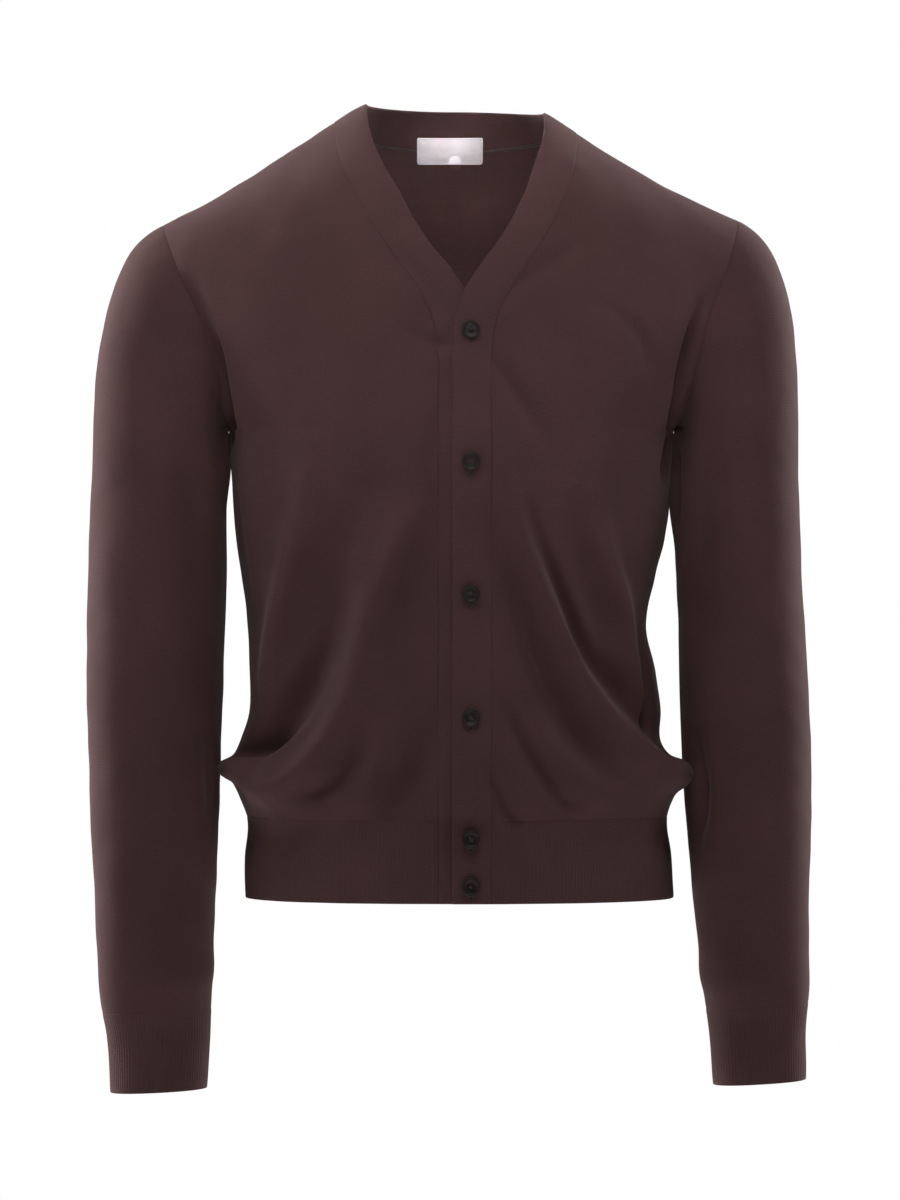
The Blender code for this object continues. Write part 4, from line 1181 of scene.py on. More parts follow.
# --- Where rows and columns go ------------------------------------------------------------
def offsets(total, step, start, end):
    """Distances along a line, close together near an edge that rolls."""
    near = np.array(start)
    far = total - np.array(end)[::-1]
    count = max(int(round((far[0] - near[-1]) / step)), 1)
    between = np.linspace(near[-1], far[0], count + 1)[1:-1]
    return np.concatenate([near, between, far])


def placed(line, low, high, step, start, end, samples=400):
    """Values between low and high at which the line's points lie the wanted distances apart."""
    values = np.linspace(low, high, samples)
    along = lengths(line(values)[:, None], 0)[:, 0]
    return np.interp(offsets(along[-1], step, start, end), along, values)


# --- The panels ---------------------------------------------------------------------------
RIB_LEVEL = (RIB_TOP - ARMPIT) / (ARMPIT - HEM)


def body_levels(turn, step):
    """Levels from the rib to the shoulder seam, evenly spaced along the cloth at this turn."""
    return placed(lambda v: torso(turn, v), RIB_LEVEL, 1, step, SEAM_OFFSETS, SEAM_OFFSETS)


def rib_levels():
    return placed(lambda v: torso(0, v), -1, RIB_LEVEL, CLOTH_STEP, FREE_OFFSETS, SEAM_OFFSETS)


def line_turn(level, index):
    """The turn at which each ring meets a line of the neckline table."""
    heights = column(NECKLINE, 0)
    xs = column(NECKLINE, index)
    x = np.full(len(level), xs[0])
    for _ in range(SETTLES):
        met = torso_form(turn_of_x(x, level), level)[:, 2]
        x += 0.5 * (np.interp(met, heights, xs) - x)
    return turn_of_x(x, level)


def sleeve_out(side, around, drop):
    return side * directions(SLEEVES[side], around, drop, SLEEVE_NUDGE, -1, 1)


def torso_out(turn, level, over=False):
    """The torso's outward directions. On the shoulder seam they lean neither way."""
    out = directions(lambda u, v: torso(u, v, over), turn, level, TORSO_NUDGE, -1, 1)
    out[..., 1] *= np.asarray(level) < 1
    return unit(out)


def seam_out(side, level, behind):
    """The direction in which the cloth is folded in along the armhole, shared by both pieces."""
    around = 180 + 180 * level if behind else 180 - 180 * level
    body = torso_out(armhole_turn(level, side, behind), level)
    arm = sleeve_out(side, around, 0 * level - 1)
    return unit(body + arm)


def fit_rib(share, width):
    """Raised ribs across a piece, as a relief over its columns."""
    count = round(width / RIB_PITCH)
    return RIB_RISE * np.cos(2 * np.pi * count * share)


def rib_shares(width):
    return np.linspace(0, 1, round(width / RIB_PITCH) * RIB_SAMPLES + 1)


def front_panel(side, index, node, rib_node):
    """A front and its hem rib, from the band's seam to the side seam and the armhole."""
    over = side > 0
    level = body_levels(side * 45, FRONT_STEP)
    start = line_turn(level, index)
    end = armhole_turn(level, side)
    middle = len(level) // 3
    share = placed(
        lambda s: torso(start[middle] + (end[middle] - start[middle]) * s, level[middle], over),
        0, 1, FRONT_STEP, SEAM_OFFSETS, SEAM_OFFSETS,
    )
    turns = start[:, None] + (end - start)[:, None] * share
    face = torso(turns, level[:, None], over)
    out = grid_out(face)
    yoke = level >= 0
    out[yoke, -1] = seam_out(side, level[yoke], False)
    seams = {edge: "seam" for edge in ("first row", "last row", "first column", "last column")}
    cloth("knit_" + node, node, face, out, WALL, seams, FINISH["body"])

    level = rib_levels()
    share = rib_shares(CUTS[rib_node][0])
    start = line_turn(level, index)
    end = armhole_turn(level, side)
    turns = start[:, None] + (end - start)[:, None] * share
    face = torso(turns, level[:, None], over)
    edges = {"first row": "free", "last row": "seam", "first column": "seam", "last column": "seam"}
    relief = rib_relief(face, share, CUTS[rib_node][0])
    cloth("knit_" + rib_node, rib_node, face, grid_out(face), WALL, edges, FINISH["rib"], relief=relief)


def rib_relief(face, share, width):
    """Ribs that flatten out at the piece's seams and free edge."""
    away = lengths(face, 0)
    ends = np.minimum(away, np.take(away, [-1], axis=0) - away)
    return fit_rib(share, width) * ease(0, RIB_FADE, ends)


def back_turn(share, level):
    """The turn at a share of the way from the middle of the back (0) to its sides (-1, 1)."""
    right = armhole_turn(level, 1, True)
    return 180 - share * (180 - right)


def back_neck_height(x):
    middle, rise, power = BACK_NECK_SEAM
    return middle + rise * np.abs(x / NECKLINE[-1][4]) ** power


def spread_to(total, count, end):
    """Distances along a line, even but for the last ones, which lie close to a seam."""
    far = total - np.array(end)[::-1]
    return np.concatenate([np.linspace(0, far[0], count - len(end) + 1)[:-1], far])


def back_panel():
    """The back. Its middle columns end at the neck seam and the others at the shoulder seams."""
    top_turn = armhole_turn(1.0, 1, True)
    corner = turn_of_x(NECKLINE[-1][4], 1.0, True)
    corner_share = float((180 - corner) / (180 - top_turn))
    half = round(BACK_HALF_WIDTH / CLOTH_STEP) + len(SEAM_OFFSETS)
    inside = round(half * NECK_COLUMNS)
    low = spread_to(BACK_HALF_WIDTH, half + 1, SEAM_OFFSETS) / BACK_HALF_WIDTH
    beside = spread_to(SHOULDER_LENGTH, half + 1 - inside, SEAM_OFFSETS) / SHOULDER_LENGTH
    at_shoulder = corner_share + (1 - corner_share) * beside
    high = np.concatenate([np.linspace(0, corner_share, inside + 1)[:-1], at_shoulder])
    low = np.concatenate([-low[:0:-1], low])
    high = np.concatenate([-high[:0:-1], high])

    def below_seam(level):
        point = torso_form(back_turn(high, level), level)
        return point[:, 2] < back_neck_height(point[:, 0])

    at_neck = np.abs(high) < corner_share - 1e-6
    top = np.where(at_neck, search(below_seam, np.zeros(high.shape), np.ones(high.shape)), 1)
    levels = body_levels(180, CLOTH_STEP)
    grid = np.where(levels[:, None] > 0, levels[:, None] * top, levels[:, None])
    bend = ease(0, 1, levels)[:, None]
    turns = back_turn((1 - bend) * low + bend * high, grid)
    face = torso(turns, grid)
    out = grid_out(face)
    yoke = levels >= 0
    out[yoke, 0] = seam_out(-1, levels[yoke], True)
    out[yoke, -1] = seam_out(1, levels[yoke], True)
    seams = {edge: "seam" for edge in ("first row", "last row", "first column", "last column")}
    cloth("knit_back_panel", "back_panel", face, out, WALL, seams, FINISH["body"])
    neck_columns = slice(half - inside, half + inside + 1)
    seam = face[-1, neck_columns].copy()
    seam_dir = out[-1, neck_columns].copy()

    levels = rib_levels()
    width = CUTS["hem_rib_back"][0]
    share = rib_shares(width)
    face = torso(back_turn(2 * share - 1, levels[:, None]), levels[:, None])
    edges = {"first row": "free", "last row": "seam", "first column": "seam", "last column": "seam"}
    relief = rib_relief(face, share, width)
    out = grid_out(face)
    cloth("knit_hem_rib_back", "hem_rib_back", face, out, WALL, edges, FINISH["rib"], relief=relief)
    return seam, seam_dir


def band(node, edge_index, seam_index, over):
    """A front band from the hem to the shoulder, between its free edge and its seam."""
    level = placed(lambda v: torso(0, v), -1, 1, BAND_STEP, FREE_OFFSETS, SEAM_OFFSETS)
    start = line_turn(level, edge_index)
    end = line_turn(level, seam_index)
    share = placed(
        lambda s: torso(start[0] + (end[0] - start[0]) * s, level[0], over),
        0, 1, BAND_STEP, FREE_OFFSETS, SEAM_OFFSETS,
    )
    turns = start[:, None] + (end - start)[:, None] * share
    face = torso(turns, level[:, None], over)
    out = grid_out(face)
    edges = {"first row": "free", "last row": "seam", "first column": "free", "last column": "seam"}
    face = face + BAND_PROUD * out
    cloth("knit_" + node, node, face, out, BAND_WALL, edges, FINISH["band"])


def neckband(seam, seam_dir):
    """The strip that stands up from the back's neck seam, from shoulder to shoulder."""
    swing = np.linspace(-1, 1, len(seam)) * math.pi / 2
    ends = [torso(turn_of_x(NECKLINE[-1][k], 1.0), 1.0) for k in (1, 3)]
    height, behind = NECKBAND_TOP
    half = np.where(swing < 0, -ends[0][0], ends[1][0])
    side_height = np.where(swing < 0, ends[0][2], ends[1][2])
    high = side_height + (height - side_height) * np.cos(swing) ** 2
    top = np.stack([half * np.sin(swing), behind * np.cos(swing), high], -1)
    rise = np.linalg.norm(top - seam, axis=-1).max()
    up = offsets(rise, BAND_STEP, SEAM_OFFSETS, FREE_OFFSETS) / rise
    face = seam * (1 - up[:, None, None]) + top * up[:, None, None]
    out = grid_out(face)
    out[0] = seam_dir
    for end in (0, -1):
        out[:, end] = torso_out(turn_of_x(face[:, end, 0], 1.0), 1.0)
    edges = {"first row": "seam", "last row": "free", "first column": "seam", "last column": "seam"}
    face = face + BAND_PROUD * out
    cloth("knit_neckband_back", "neckband_back", face, out, BAND_WALL, edges, FINISH["band"])
    return face - out * BAND_WALL, out


def sleeve_panels(side, sleeve_node, cuff_node):
    """A sleeve and its cuff, with the seam under the arm."""
    surface = SLEEVES[side]
    table = SLEEVE_LEFT if side < 0 else SLEEVE_RIGHT
    cuff = (table[0][0] - table[CUFF_ROW][0]) / (table[0][0] - table[-1][0])
    seams = {"first row": "seam", "last row": "seam"}
    drop = placed(lambda v: surface(0, v), -1, cuff, CLOTH_STEP, SEAM_OFFSETS, SEAM_OFFSETS)
    around = np.linspace(0, 360, SLEEVE_COLUMNS, endpoint=False)
    turns, drops = np.meshgrid(around, drop)
    face = surface(turns, drops)
    out = grid_out(face, tube=True)
    level = np.abs(around - 180) / 180
    for behind in (False, True):
        here = around > 180 if behind else around <= 180
        out[0, here] = seam_out(side, level[here], behind)
    away = np.abs(turns - 180) * math.radians(1) * SLEEVE_RADIUS
    seam = -UNDERARM_DEPTH * np.exp(-((away / UNDERARM_WIDTH) ** 2))
    cloth("knit_" + sleeve_node, sleeve_node, face, out, WALL, seams, FINISH["sleeve"], True, seam)

    width = CUTS[cuff_node][0]
    drop = placed(lambda v: surface(0, v), cuff, 1, CLOTH_STEP, SEAM_OFFSETS, FREE_OFFSETS)
    share = rib_shares(width)[:-1]
    turns, drops = np.meshgrid(share * 360, drop)
    face = surface(turns, drops)
    edges = {"first row": "seam", "last row": "free"}
    relief = rib_relief(face, share, width)
    out = grid_out(face, tube=True)
    cloth("knit_" + cuff_node, cuff_node, face, out, WALL, edges, FINISH["rib"], True, relief)


# --- Small things on the cloth ------------------------------------------------------------
def joined(name, parts, material):
    """One mesh piece from several lists of (points, faces)."""
    points = []
    faces = []
    for some_points, some_faces in parts:
        start = len(points)
        points.extend(some_points)
        faces.extend([tuple(start + k for k in face) for face in some_faces])
    mesh = bpy.data.meshes.new(name)
    mesh.from_pydata([tuple(np.asarray(p) * MM) for p in points], [], faces)
    mesh.validate()
    mesh.update()
    mesh.shade_smooth()
    mesh.materials.append(material)
    piece = bpy.data.objects.new(name, mesh)
    bpy.context.scene.collection.objects.link(piece)
    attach(piece, ROOT)
    return piece


def strand(path, radius, turns=8, closed=False):
    """A round thread along a path, with rounded ends where it isn't a loop."""
    path = np.asarray(path, float)
    if closed:
        along = unit(np.roll(path, -1, axis=0) - np.roll(path, 1, axis=0))
    else:
        along = unit(np.gradient(path, axis=0))
    guide = np.array([0.31, 0.87, 0.38])
    side = unit(np.cross(along, guide))
    up = np.cross(along, side)
    radii = np.full(len(path), float(radius))
    if not closed:
        radii[[0, -1]] *= 0.35
    angle = np.arange(turns) * 2 * math.pi / turns
    ring = side[:, None] * np.cos(angle)[:, None] + up[:, None] * np.sin(angle)[:, None]
    points = (path[:, None] + ring * radii[:, None, None]).reshape(-1, 3)
    faces = []
    count = len(path)
    for k in range(count if closed else count - 1):
        for j in range(turns):
            here = k * turns
            after = (k + 1) % count * turns
            beside = (j + 1) % turns
            faces.append((here + j, here + beside, after + beside, after + j))
    if not closed:
        faces.append(tuple(range(turns))[::-1])
        faces.append(tuple((count - 1) * turns + j for j in range(turns)))
    return points.tolist(), faces


def button_axis(node):
    """A button's middle, outward direction and the height of its seat, read from its solid."""
    points = np.array([v.co[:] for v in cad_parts[node].data.vertices]) / MM
    middle = (points.min(axis=0) + points.max(axis=0)) / 2
    centred = points - points.mean(axis=0)
    out = np.linalg.svd(centred, full_matrices=False)[2][2]
    out = out * -np.sign(out[1])
    return middle, out, ((points - middle) @ out).min()


def turned_button(name):
    """A button's solid of revolution, its back at height 0, without its holes."""
    radius = BUTTON_DIAMETER / 2
    ring = np.arange(BUTTON_TURNS) * 2 * math.pi / BUTTON_TURNS
    points = []
    for share, height in BUTTON_PROFILE:
        points += [(share * radius * math.cos(a), share * radius * math.sin(a), height) for a in ring]
    rows = len(BUTTON_PROFILE)
    faces = []
    for row in range(rows - 1):
        here = row * BUTTON_TURNS
        above = here + BUTTON_TURNS
        for k in range(BUTTON_TURNS):
            after = (k + 1) % BUTTON_TURNS
            faces.append((here + k, here + after, above + after, above + k))
    faces.append(tuple(range(BUTTON_TURNS))[::-1])
    faces.append(tuple((rows - 1) * BUTTON_TURNS + k for k in range(BUTTON_TURNS)))
    mesh = bpy.data.meshes.new(name)
    mesh.from_pydata(points, [], faces)
    body = bpy.data.objects.new(name, mesh)
    bpy.context.scene.collection.objects.link(body)
    return body


def hole_way(number):
    """The direction from a button's middle to one of its four holes."""
    angle = math.radians(45 + 90 * number)
    return np.array([math.cos(angle), math.sin(angle)])


def drill(body, number):
    """A round bar that one hole of a button is cut with."""
    middle = HOLE_AWAY * hole_way(number)
    circle = np.arange(DRILL_TURNS) * 2 * math.pi / DRILL_TURNS
    rim = [(middle[0] + HOLE_RADIUS * math.cos(a), middle[1] + HOLE_RADIUS * math.sin(a)) for a in circle]
    points = [(x, y, z) for z in DRILL_HEIGHTS for x, y in rim]
    sides = []
    for k in range(DRILL_TURNS):
        after = (k + 1) % DRILL_TURNS
        sides.append((k, after, DRILL_TURNS + after, DRILL_TURNS + k))
    caps = [tuple(range(DRILL_TURNS))[::-1], tuple(range(DRILL_TURNS, 2 * DRILL_TURNS))]
    mesh = bpy.data.meshes.new("drill")
    mesh.from_pydata(points, [], sides + caps)
    bar = bpy.data.objects.new("drill", mesh)
    bpy.context.scene.collection.objects.link(bar)
    cut = body.modifiers.new("hole", "BOOLEAN")
    cut.operation = "DIFFERENCE"
    cut.solver = "EXACT"
    cut.object = bar
    return bar


def button_threads(number, place):
    """The crossed threads that hold a button, two through each pair of opposite holes."""
    threads = []
    for first in (0, 1):
        start = hole_way(first)
        end = hole_way(first + 2)
        way = unit(end - start)
        over = THREAD_OVER if first else 0
        for shift in (-THREAD_APART, THREAD_APART):
            side = np.array([-way[1], way[0]]) * shift
            path = []
            for t in np.linspace(0, 1, 9):
                flat = start * HOLE_AWAY * (1 - t) + end * HOLE_AWAY * t + side
                lift = BUTTON_FLOOR + THREAD_LIFT + THREAD_ARCH * math.sin(math.pi * t) ** 0.5 + over
                path.append((*flat, lift if 0 < t < 1 else BUTTON_FLOOR - THREAD_DEPTH))
            placed = [np.array((place @ Vector(p))[:]) / MM for p in path]
            threads.append(strand(placed, THREAD_RADIUS, 7))
    joined(f"thread_{number}", threads, FINISH["thread"][0])


def button_shape(number):
    """A turned button with a raised rim, a dished middle and four holes sewn through."""
    node = f"button_{number}"
    middle, out, seat = button_axis(node)
    body = turned_button(f"sewn_{node}")
    name = body.data.name
    drills = [drill(body, k) for k in range(4)]
    bpy.context.view_layer.update()
    done = bpy.data.meshes.new_from_object(body.evaluated_get(bpy.context.evaluated_depsgraph_get()))
    for bar in drills:
        bpy.data.objects.remove(bar)
    body.modifiers.clear()
    body.data = done
    done.name = name
    spin = math.radians(BUTTON_SPINS[number - 1])
    turn = Vector(out).to_track_quat("Z", "Y").to_matrix().to_4x4() @ Matrix.Rotation(spin, 4, "Z")
    place = Matrix.Translation(Vector((middle + out * seat) * MM)) @ turn @ Matrix.Scale(MM, 4)
    done.transform(place)
    done.shade_smooth()
    done.set_sharp_from_angle(angle=math.radians(40))
    done.materials.clear()
    done.materials.append(FINISH["button"][0])
    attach(body, ROOT)
    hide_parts(node)
    button_threads(number, place)
    return middle


def buttonhole(number, middle):
    """A slot under a button, bound round with thread."""
    path = []
    for angle in np.linspace(0, 2 * math.pi, 33)[:-1]:
        along = HOLE_HALF_LENGTH * math.sin(angle) - HOLE_LOW
        across = math.copysign(HOLE_HALF_WIDTH * abs(math.cos(angle)) ** 0.6, math.cos(angle))
        level = level_at(middle[0] + across, middle[2] + along)
        turn = turn_of_x(middle[0] + across, level)
        path.append(torso(turn, level, True) + torso_out(turn, level, True) * (BAND_PROUD + BINDING_LIFT))
    joined(f"buttonhole_{number}", [strand(path, BINDING_RADIUS, 8, True)], FINISH["binding_and_shadow"][0])


def label_terms(across, up):
    """The terms of the smooth surface that is fitted to the label's solid."""
    return np.stack([across**0, across, across * across, across**4, up, up * up, across * across * up], -1)


def label():
    """A bare woven tape over the back's neck seam, stitched down at its two ends."""
    node = "neck_label"
    width, height = LABEL_SIZE
    points = np.array([v.co[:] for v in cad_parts[node].data.vertices]) / MM
    low = points.min(axis=0)
    high = points.max(axis=0)
    centre_x = (low[0] + high[0]) / 2
    centre_z = (low[2] + high[2]) / 2
    terms = label_terms((points[:, 0] - centre_x) / width, (points[:, 2] - centre_z) / height)
    fit = np.linalg.lstsq(terms, points[:, 1], rcond=None)[0]
    columns, rows = LABEL_GRID
    grid_x, grid_z = np.meshgrid(np.linspace(low[0], high[0], columns), np.linspace(low[2], high[2], rows))
    y = label_terms((grid_x - centre_x) / width, (grid_z - centre_z) / height) @ fit
    # the corners are rounded by pulling their points in
    inset_x = np.maximum(np.abs(grid_x - centre_x) - (width / 2 - LABEL_CORNER), 0)
    inset_z = np.maximum(np.abs(grid_z - centre_z) - (height / 2 - LABEL_CORNER), 0)
    far = np.hypot(inset_x, inset_z)
    pull = np.where(far > LABEL_CORNER, LABEL_CORNER / np.maximum(far, 1e-9), 1)
    grid_x = np.sign(grid_x - centre_x) * (np.abs(grid_x - centre_x) - inset_x * (1 - pull)) + centre_x
    grid_z = np.sign(grid_z - centre_z) * (np.abs(grid_z - centre_z) - inset_z * (1 - pull)) + centre_z
    wave = LABEL_WAVE * np.sin(grid_x * 0.21 + 1.1) * np.cos(grid_z * 0.3)
    lift = LABEL_LIFT * ease(centre_z, low[2], grid_z)
    face = np.stack([grid_x, y - LABEL_THICKNESS / 2 - wave - lift, grid_z], -1)
    out = grid_out(face)
    if out[..., 1].mean() > 0:
        out = -out
    piece = shell("woven_label", face, face - out * LABEL_THICKNESS, FINISH["label"][0])
    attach(piece, ROOT)
    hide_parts(node)
    return face, out


def label_stitches(face, out):
    """A row of small stitches down each end of the label."""
    threads = []
    for column_at in (2, -3):
        for row in range(1, len(face) - 1, 2):
            direction = out[row, column_at]
            start = face[row, column_at] + direction * STITCH_PROUD
            end = face[min(row + 1, len(face) - 1), column_at] + direction * STITCH_PROUD
            middle = (start + end) / 2 + direction * STITCH_ARCH
            path = [start - direction * STITCH_DEPTH, start, middle, end, end - direction * STITCH_DEPTH]
            threads.append(strand(path, STITCH_RADIUS, 6))
    joined("label_stitches", threads, FINISH["label_thread"][0])


def neck_shadow_tape(inner, out):
    """A narrow tape that covers the neck seam inside, from each shoulder to the label; its dark colour is
    painted shadow under the neckband's edge.
    """
    row = inner[0] - out[0] * TAPE_OFF
    left_end = LABEL_MIDDLE[0] - LABEL_SIZE[0] / 2
    right_end = LABEL_MIDDLE[0] + LABEL_SIZE[0] / 2
    row = row[1:-1]
    sides = (row[:, 0] < left_end, row[:, 0] > right_end)
    threads = [strand(row[beside], TAPE_RADIUS, 8) for beside in sides]
    # the dark binding colour here is painted shadow under the neckband
    joined("neck_seam_shadow_tape", threads, FINISH["binding_and_shadow"][0])


# --- Light, floor and camera --------------------------------------------------------------
def white_world():
    """White where the camera sees it, and a faint even light on the cloth."""
    world = bpy.data.worlds.new("studio")
    bpy.context.scene.world = world
    world.use_nodes = True
    tree = world.node_tree
    tree.nodes.clear()
    path = tree.nodes.new("ShaderNodeLightPath")
    seen = tree.nodes.new("ShaderNodeBackground")
    lit = tree.nodes.new("ShaderNodeBackground")
    seen.inputs["Color"].default_value = (1, 1, 1, 1)
    seen.inputs["Strength"].default_value = 1.0
    lit.inputs["Color"].default_value = (1, 1, 1, 1)
    lit.inputs["Strength"].default_value = AMBIENT
    mix = tree.nodes.new("ShaderNodeMixShader")
    end = tree.nodes.new("ShaderNodeOutputWorld")
    tree.links.new(path.outputs["Is Camera Ray"], mix.inputs["Fac"])
    tree.links.new(lit.outputs["Background"], mix.inputs[1])
    tree.links.new(seen.outputs["Background"], mix.inputs[2])
    tree.links.new(mix.outputs["Shader"], end.inputs["Surface"])


def lamps():
    """The area lights of LAMPS, which the camera doesn't see."""
    for name, place, aim, size, power, spread in LAMPS:
        light = bpy.data.lights.new(name, "AREA")
        light.shape = "RECTANGLE"
        light.size, light.size_y = size
        light.energy = power
        light.spread = math.radians(spread)
        lamp = bpy.data.objects.new(name, light)
        lamp.location = Vector(place)
        lamp.rotation_euler = (Vector(aim) - Vector(place)).to_track_quat("-Z", "Y").to_euler()
        lamp.visible_camera = False
        bpy.context.scene.collection.objects.link(lamp)


def pale_ground():
    """A round floor below the hem, which isn't part of the object."""
    angles = np.arange(FLOOR_TURNS) * 2 * math.pi / FLOOR_TURNS
    ring = [(FLOOR_RADIUS * math.cos(a), FLOOR_RADIUS * math.sin(a), 0) for a in angles]
    mesh = bpy.data.meshes.new("floor")
    mesh.from_pydata(ring, [], [tuple(range(FLOOR_TURNS))])
    mesh.materials.append(plain_floor())
    floor = bpy.data.objects.new("floor", mesh)
    floor.location.z = FLOOR_HEIGHT
    bpy.context.scene.collection.objects.link(floor)


def front_camera():
    """The photo's view, with plain colour handling."""
    lens = bpy.data.cameras.new("camera")
    lens.sensor_width = 36
    lens.lens = CAMERA_LENS
    lens.clip_end = 100
    camera = bpy.data.objects.new("camera", lens)
    camera.location = CAMERA_PLACE
    camera.rotation_euler = (math.pi / 2, 0, 0)
    bpy.context.scene.collection.objects.link(camera)
    bpy.context.scene.camera = camera
    view = bpy.context.scene.view_settings
    view.view_transform = "Standard"
    view.look = "None"
    view.exposure = 0
    view.gamma = 1


# --- Materials ----------------------------------------------------------------------------
class Nodes:
    """Short calls for building one material's nodes."""

    def __init__(self, name):
        self.material = bpy.data.materials.new(name)
        self.material.use_nodes = True
        self.tree = self.material.node_tree
        self.tree.nodes.clear()
        self.shader = self.tree.nodes.new("ShaderNodeBsdfPrincipled")
        end = self.tree.nodes.new("ShaderNodeOutputMaterial")
        self.tree.links.new(self.shader.outputs["BSDF"], end.inputs["Surface"])

    def put(self, value, socket):
        if isinstance(value, bpy.types.NodeSocket):
            self.tree.links.new(value, socket)
        else:
            socket.default_value = value

    def add(self, kind, out=0, settings=None, **values):
        node = self.tree.nodes.new(kind)
        for name, value in (settings or {}).items():
            setattr(node, name, value)
        for name, value in values.items():
            key = int(name[1:]) if name[1:].isdigit() else name.replace("_", " ")
            self.put(value, node.inputs[key])
        return node.outputs[out]

    def math(self, operation, a, b=0.0, c=0.0):
        return self.add("ShaderNodeMath", settings={"operation": operation}, i0=a, i1=b, i2=c)

    def ranged(self, value, low, high, to_low, to_high):
        return self.add("ShaderNodeMapRange", i0=value, i1=low, i2=high, i3=to_low, i4=to_high)

    def noise(self, place, scale, detail=2.0, roughness=0.5):
        return self.add("ShaderNodeTexNoise", Vector=place, Scale=scale, Detail=detail, Roughness=roughness)

    def vector(self, operation, value, **values):
        return self.add("ShaderNodeVectorMath", settings={"operation": operation}, i0=value, **values)

    def tinted(self, colour, share):
        return self.vector("SCALE", colour, Scale=share)

    def set(self, **values):
        for name, value in values.items():
            self.put(value, self.shader.inputs[name.replace("_", " ")])


def knit(name, colour, stitch, sheen):
    """Plain knit: columns of small V stitches, with the yarn's flecks and a soft nap."""
    n = Nodes(name)
    flat = n.add("ShaderNodeUVMap", settings={"uv_map": "knit"})
    place = n.add("ShaderNodeTexCoord", out=3)
    wobble = n.add("ShaderNodeTexNoise", out=1, Vector=place, Scale=260.0, Detail=1.0)
    wobble = n.vector("SUBTRACT", wobble, i1=(0.5, 0.5, 0.5))
    wobble = n.vector("SCALE", wobble, Scale=STITCH_WOBBLE)
    moved = n.vector("ADD", flat, i1=wobble)
    split = n.tree.nodes.new("ShaderNodeSeparateXYZ")
    n.put(moved, split.inputs[0])
    across = n.math("FRACT", n.math("DIVIDE", split.outputs[0], stitch[0]))
    aside = n.math("MULTIPLY", n.math("ABSOLUTE", n.math("SUBTRACT", across, 0.5)), 2.0)
    slant = n.math("MULTIPLY_ADD", aside, STITCH_SLANT, n.math("DIVIDE", split.outputs[1], stitch[1]))
    leg = n.math("MULTIPLY_ADD", n.math("SINE", n.math("MULTIPLY", slant, 2 * math.pi)), 0.5, 0.5)
    groove = n.ranged(n.math("POWER", aside, 5.0), 0.0, 1.0, 1.0, 0.15)
    heart = n.ranged(aside, 0.0, 0.22, 0.45, 1.0)
    yarn = n.math("MULTIPLY", n.math("MULTIPLY", leg, groove), heart)
    fleck = n.noise(place, 900.0, 3.0, 0.7)
    cloud = n.noise(place, 14.0, 3.0, 0.55)
    heather = n.noise(n.vector("MULTIPLY", flat, i1=(1.6, 0.5, 1.0)), 1.0, 2.0, 0.6)
    # Painted shade: the stitches are darker in the grooves between their legs and lighter on their tops;
    # cloud, heather and fleck are the yarn's own tone.
    shade = n.math("MULTIPLY", n.ranged(yarn, 0.0, 1.0, 0.80, 1.10), n.ranged(cloud, 0.3, 0.7, 0.90, 1.10))
    shade = n.math("MULTIPLY", shade, n.ranged(heather, 0.3, 0.7, 0.84, 1.16))
    shade = n.math("MULTIPLY", shade, n.ranged(fleck, 0.3, 0.7, 0.94, 1.06))
    height = n.math("MULTIPLY_ADD", fleck, 0.35, yarn)
    normal = n.add("ShaderNodeBump", Strength=STITCH_STRENGTH, Distance=STITCH_RISE * MM, Height=height)
    n.set(
        Base_Color=n.tinted(colour, shade),
        Roughness=n.ranged(fleck, 0.3, 0.7, 0.82, 0.94),
        Normal=normal,
        Specular_IOR_Level=0.08,
        Sheen_Weight=sheen,
        Sheen_Roughness=0.45,
        Sheen_Tint=SHEEN_TINT,
    )
    return n.material


def gloss():
    """Dark polished plastic with the faint streaks of horn."""
    n = Nodes("button_horn")
    place = n.add("ShaderNodeTexCoord", out=3)
    streak = n.noise(n.vector("MULTIPLY", place, i1=(1.0, 1.0, 3.2)), 160.0, 4.0, 0.6)
    shade = n.ranged(streak, 0.35, 0.7, 0.6, 1.7)
    scuff = n.noise(place, 1400.0, 2.0, 0.6)
    n.set(
        Base_Color=n.tinted(BUTTON_COLOUR, shade),
        Roughness=n.ranged(scuff, 0.3, 0.7, 0.42, 0.56),
        Normal=n.add("ShaderNodeBump", Strength=0.1, Distance=0.00005, Height=scuff),
        Specular_IOR_Level=0.2,
    )
    return n.material


def twisted(name, colour):
    """Sewing thread: fine twist and a little gloss."""
    n = Nodes(name)
    place = n.add("ShaderNodeTexCoord", out=3)
    twist = n.add("ShaderNodeTexWave", Vector=place, Scale=1100.0, Distortion=1.5)
    n.set(
        Base_Color=n.tinted(colour, n.ranged(twist, 0.0, 1.0, 0.75, 1.15)),
        Roughness=n.ranged(twist, 0.0, 1.0, 0.75, 0.6),
        Normal=n.add("ShaderNodeBump", Strength=0.4, Distance=0.0001, Height=twist),
    )
    return n.material


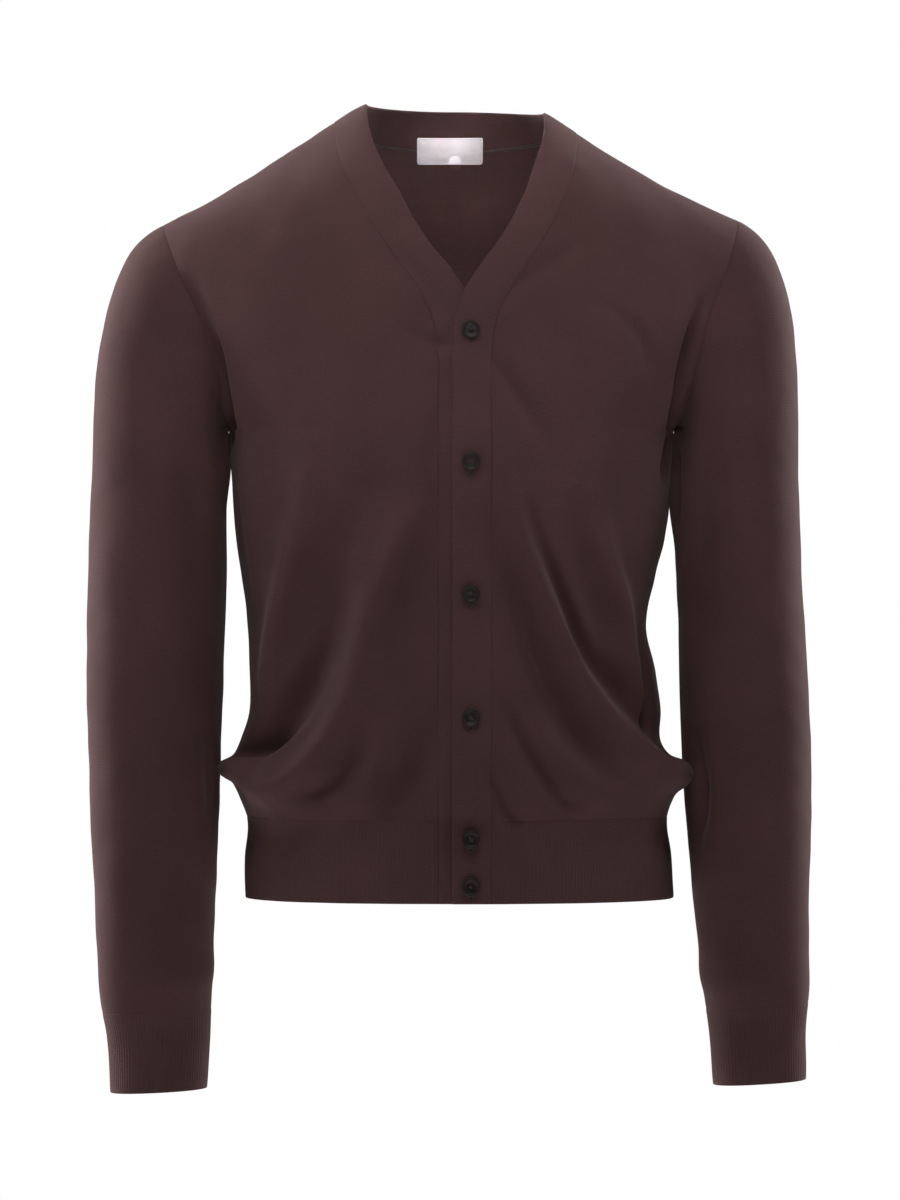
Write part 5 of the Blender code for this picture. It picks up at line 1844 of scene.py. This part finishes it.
def woven():
    """Label tape: a fine satin weave, smoother along its selvedges."""
    n = Nodes("label_tape")
    flat = n.add("ShaderNodeUVMap", settings={"uv_map": "knit"})
    place = n.add("ShaderNodeTexCoord", out=3)
    split = n.tree.nodes.new("ShaderNodeSeparateXYZ")
    n.put(flat, split.inputs[0])
    warp = n.math("SINE", n.math("MULTIPLY", split.outputs[0], 2 * math.pi / 0.42))
    swing = n.math("MULTIPLY", warp, 0.6)
    weft = n.math("SINE", n.math("MULTIPLY_ADD", split.outputs[1], 2 * math.pi / 0.3, swing))
    weave = n.math("MULTIPLY_ADD", weft, 0.5, 0.5)
    cloud = n.noise(place, 60.0, 3.0, 0.6)
    shade = n.math("MULTIPLY", n.ranged(weave, 0.0, 1.0, 0.88, 1.04), n.ranged(cloud, 0.3, 0.7, 0.96, 1.04))
    n.set(
        Base_Color=n.tinted(LABEL_COLOUR, shade),
        Roughness=n.ranged(weave, 0.0, 1.0, 0.7, 0.5),
        Normal=n.add("ShaderNodeBump", Strength=0.4, Distance=0.0001, Height=weave),
        Sheen_Weight=0.15,
    )
    return n.material


def plain_floor():
    n = Nodes("pale_floor")
    place = n.add("ShaderNodeTexCoord", out=3)
    n.set(
        Base_Color=n.tinted((0.86, 0.86, 0.85), n.ranged(n.noise(place, 1.2), 0.3, 0.7, 0.97, 1.02)),
        Roughness=0.75,
    )
    return n.material


FINISH = {
    "body": (knit("knit_body", KNIT_COLOUR, BODY_STITCH, KNIT_SHEEN), "knit_body"),
    "rib": (knit("knit_rib", RIB_COLOUR, RIB_STITCH, KNIT_SHEEN), "knit_rib"),
    "band": (knit("knit_band", RIB_COLOUR, BAND_STITCH, KNIT_SHEEN), "knit_rib"),
    "button": (gloss(), "button"),
    "thread": (twisted("button_thread", THREAD_COLOUR), "button"),
    # buttonhole thread, and also the neck tape's painted shadow under the neckband
    "binding_and_shadow": (twisted("hole_thread_and_neck_shadow", BINDING_AND_SHADOW_COLOUR), "knit_rib"),
    "label": (woven(), "label"),
    "label_thread": (twisted("label_thread", LABEL_THREAD_COLOUR), "label"),
}
FINISH["sleeve"] = FINISH["body"]


# --- Dressing the model -------------------------------------------------------------------
SLEEVES = {side: sleeve(side) for side in (-1, 1)}
front_panel(-1, 2, "under_front", "hem_rib_under")
front_panel(1, 4, "over_front", "hem_rib_over")
neck_seam, neck_dir = back_panel()
band("button_band", 1, 2, False)
band("buttonhole_band", 3, 4, True)
neck_inner, neck_out = neckband(neck_seam, neck_dir)
sleeve_panels(-1, "sleeve_left", "cuff_left")
sleeve_panels(1, "sleeve_right", "cuff_right")
for number in range(1, BUTTON_COUNT + 1):
    buttonhole(number, button_shape(number))
label_face, label_out = label()
label_stitches(label_face, label_out)
neck_shadow_tape(neck_inner, neck_out)
white_world()
lamps()
pale_ground()
front_camera()
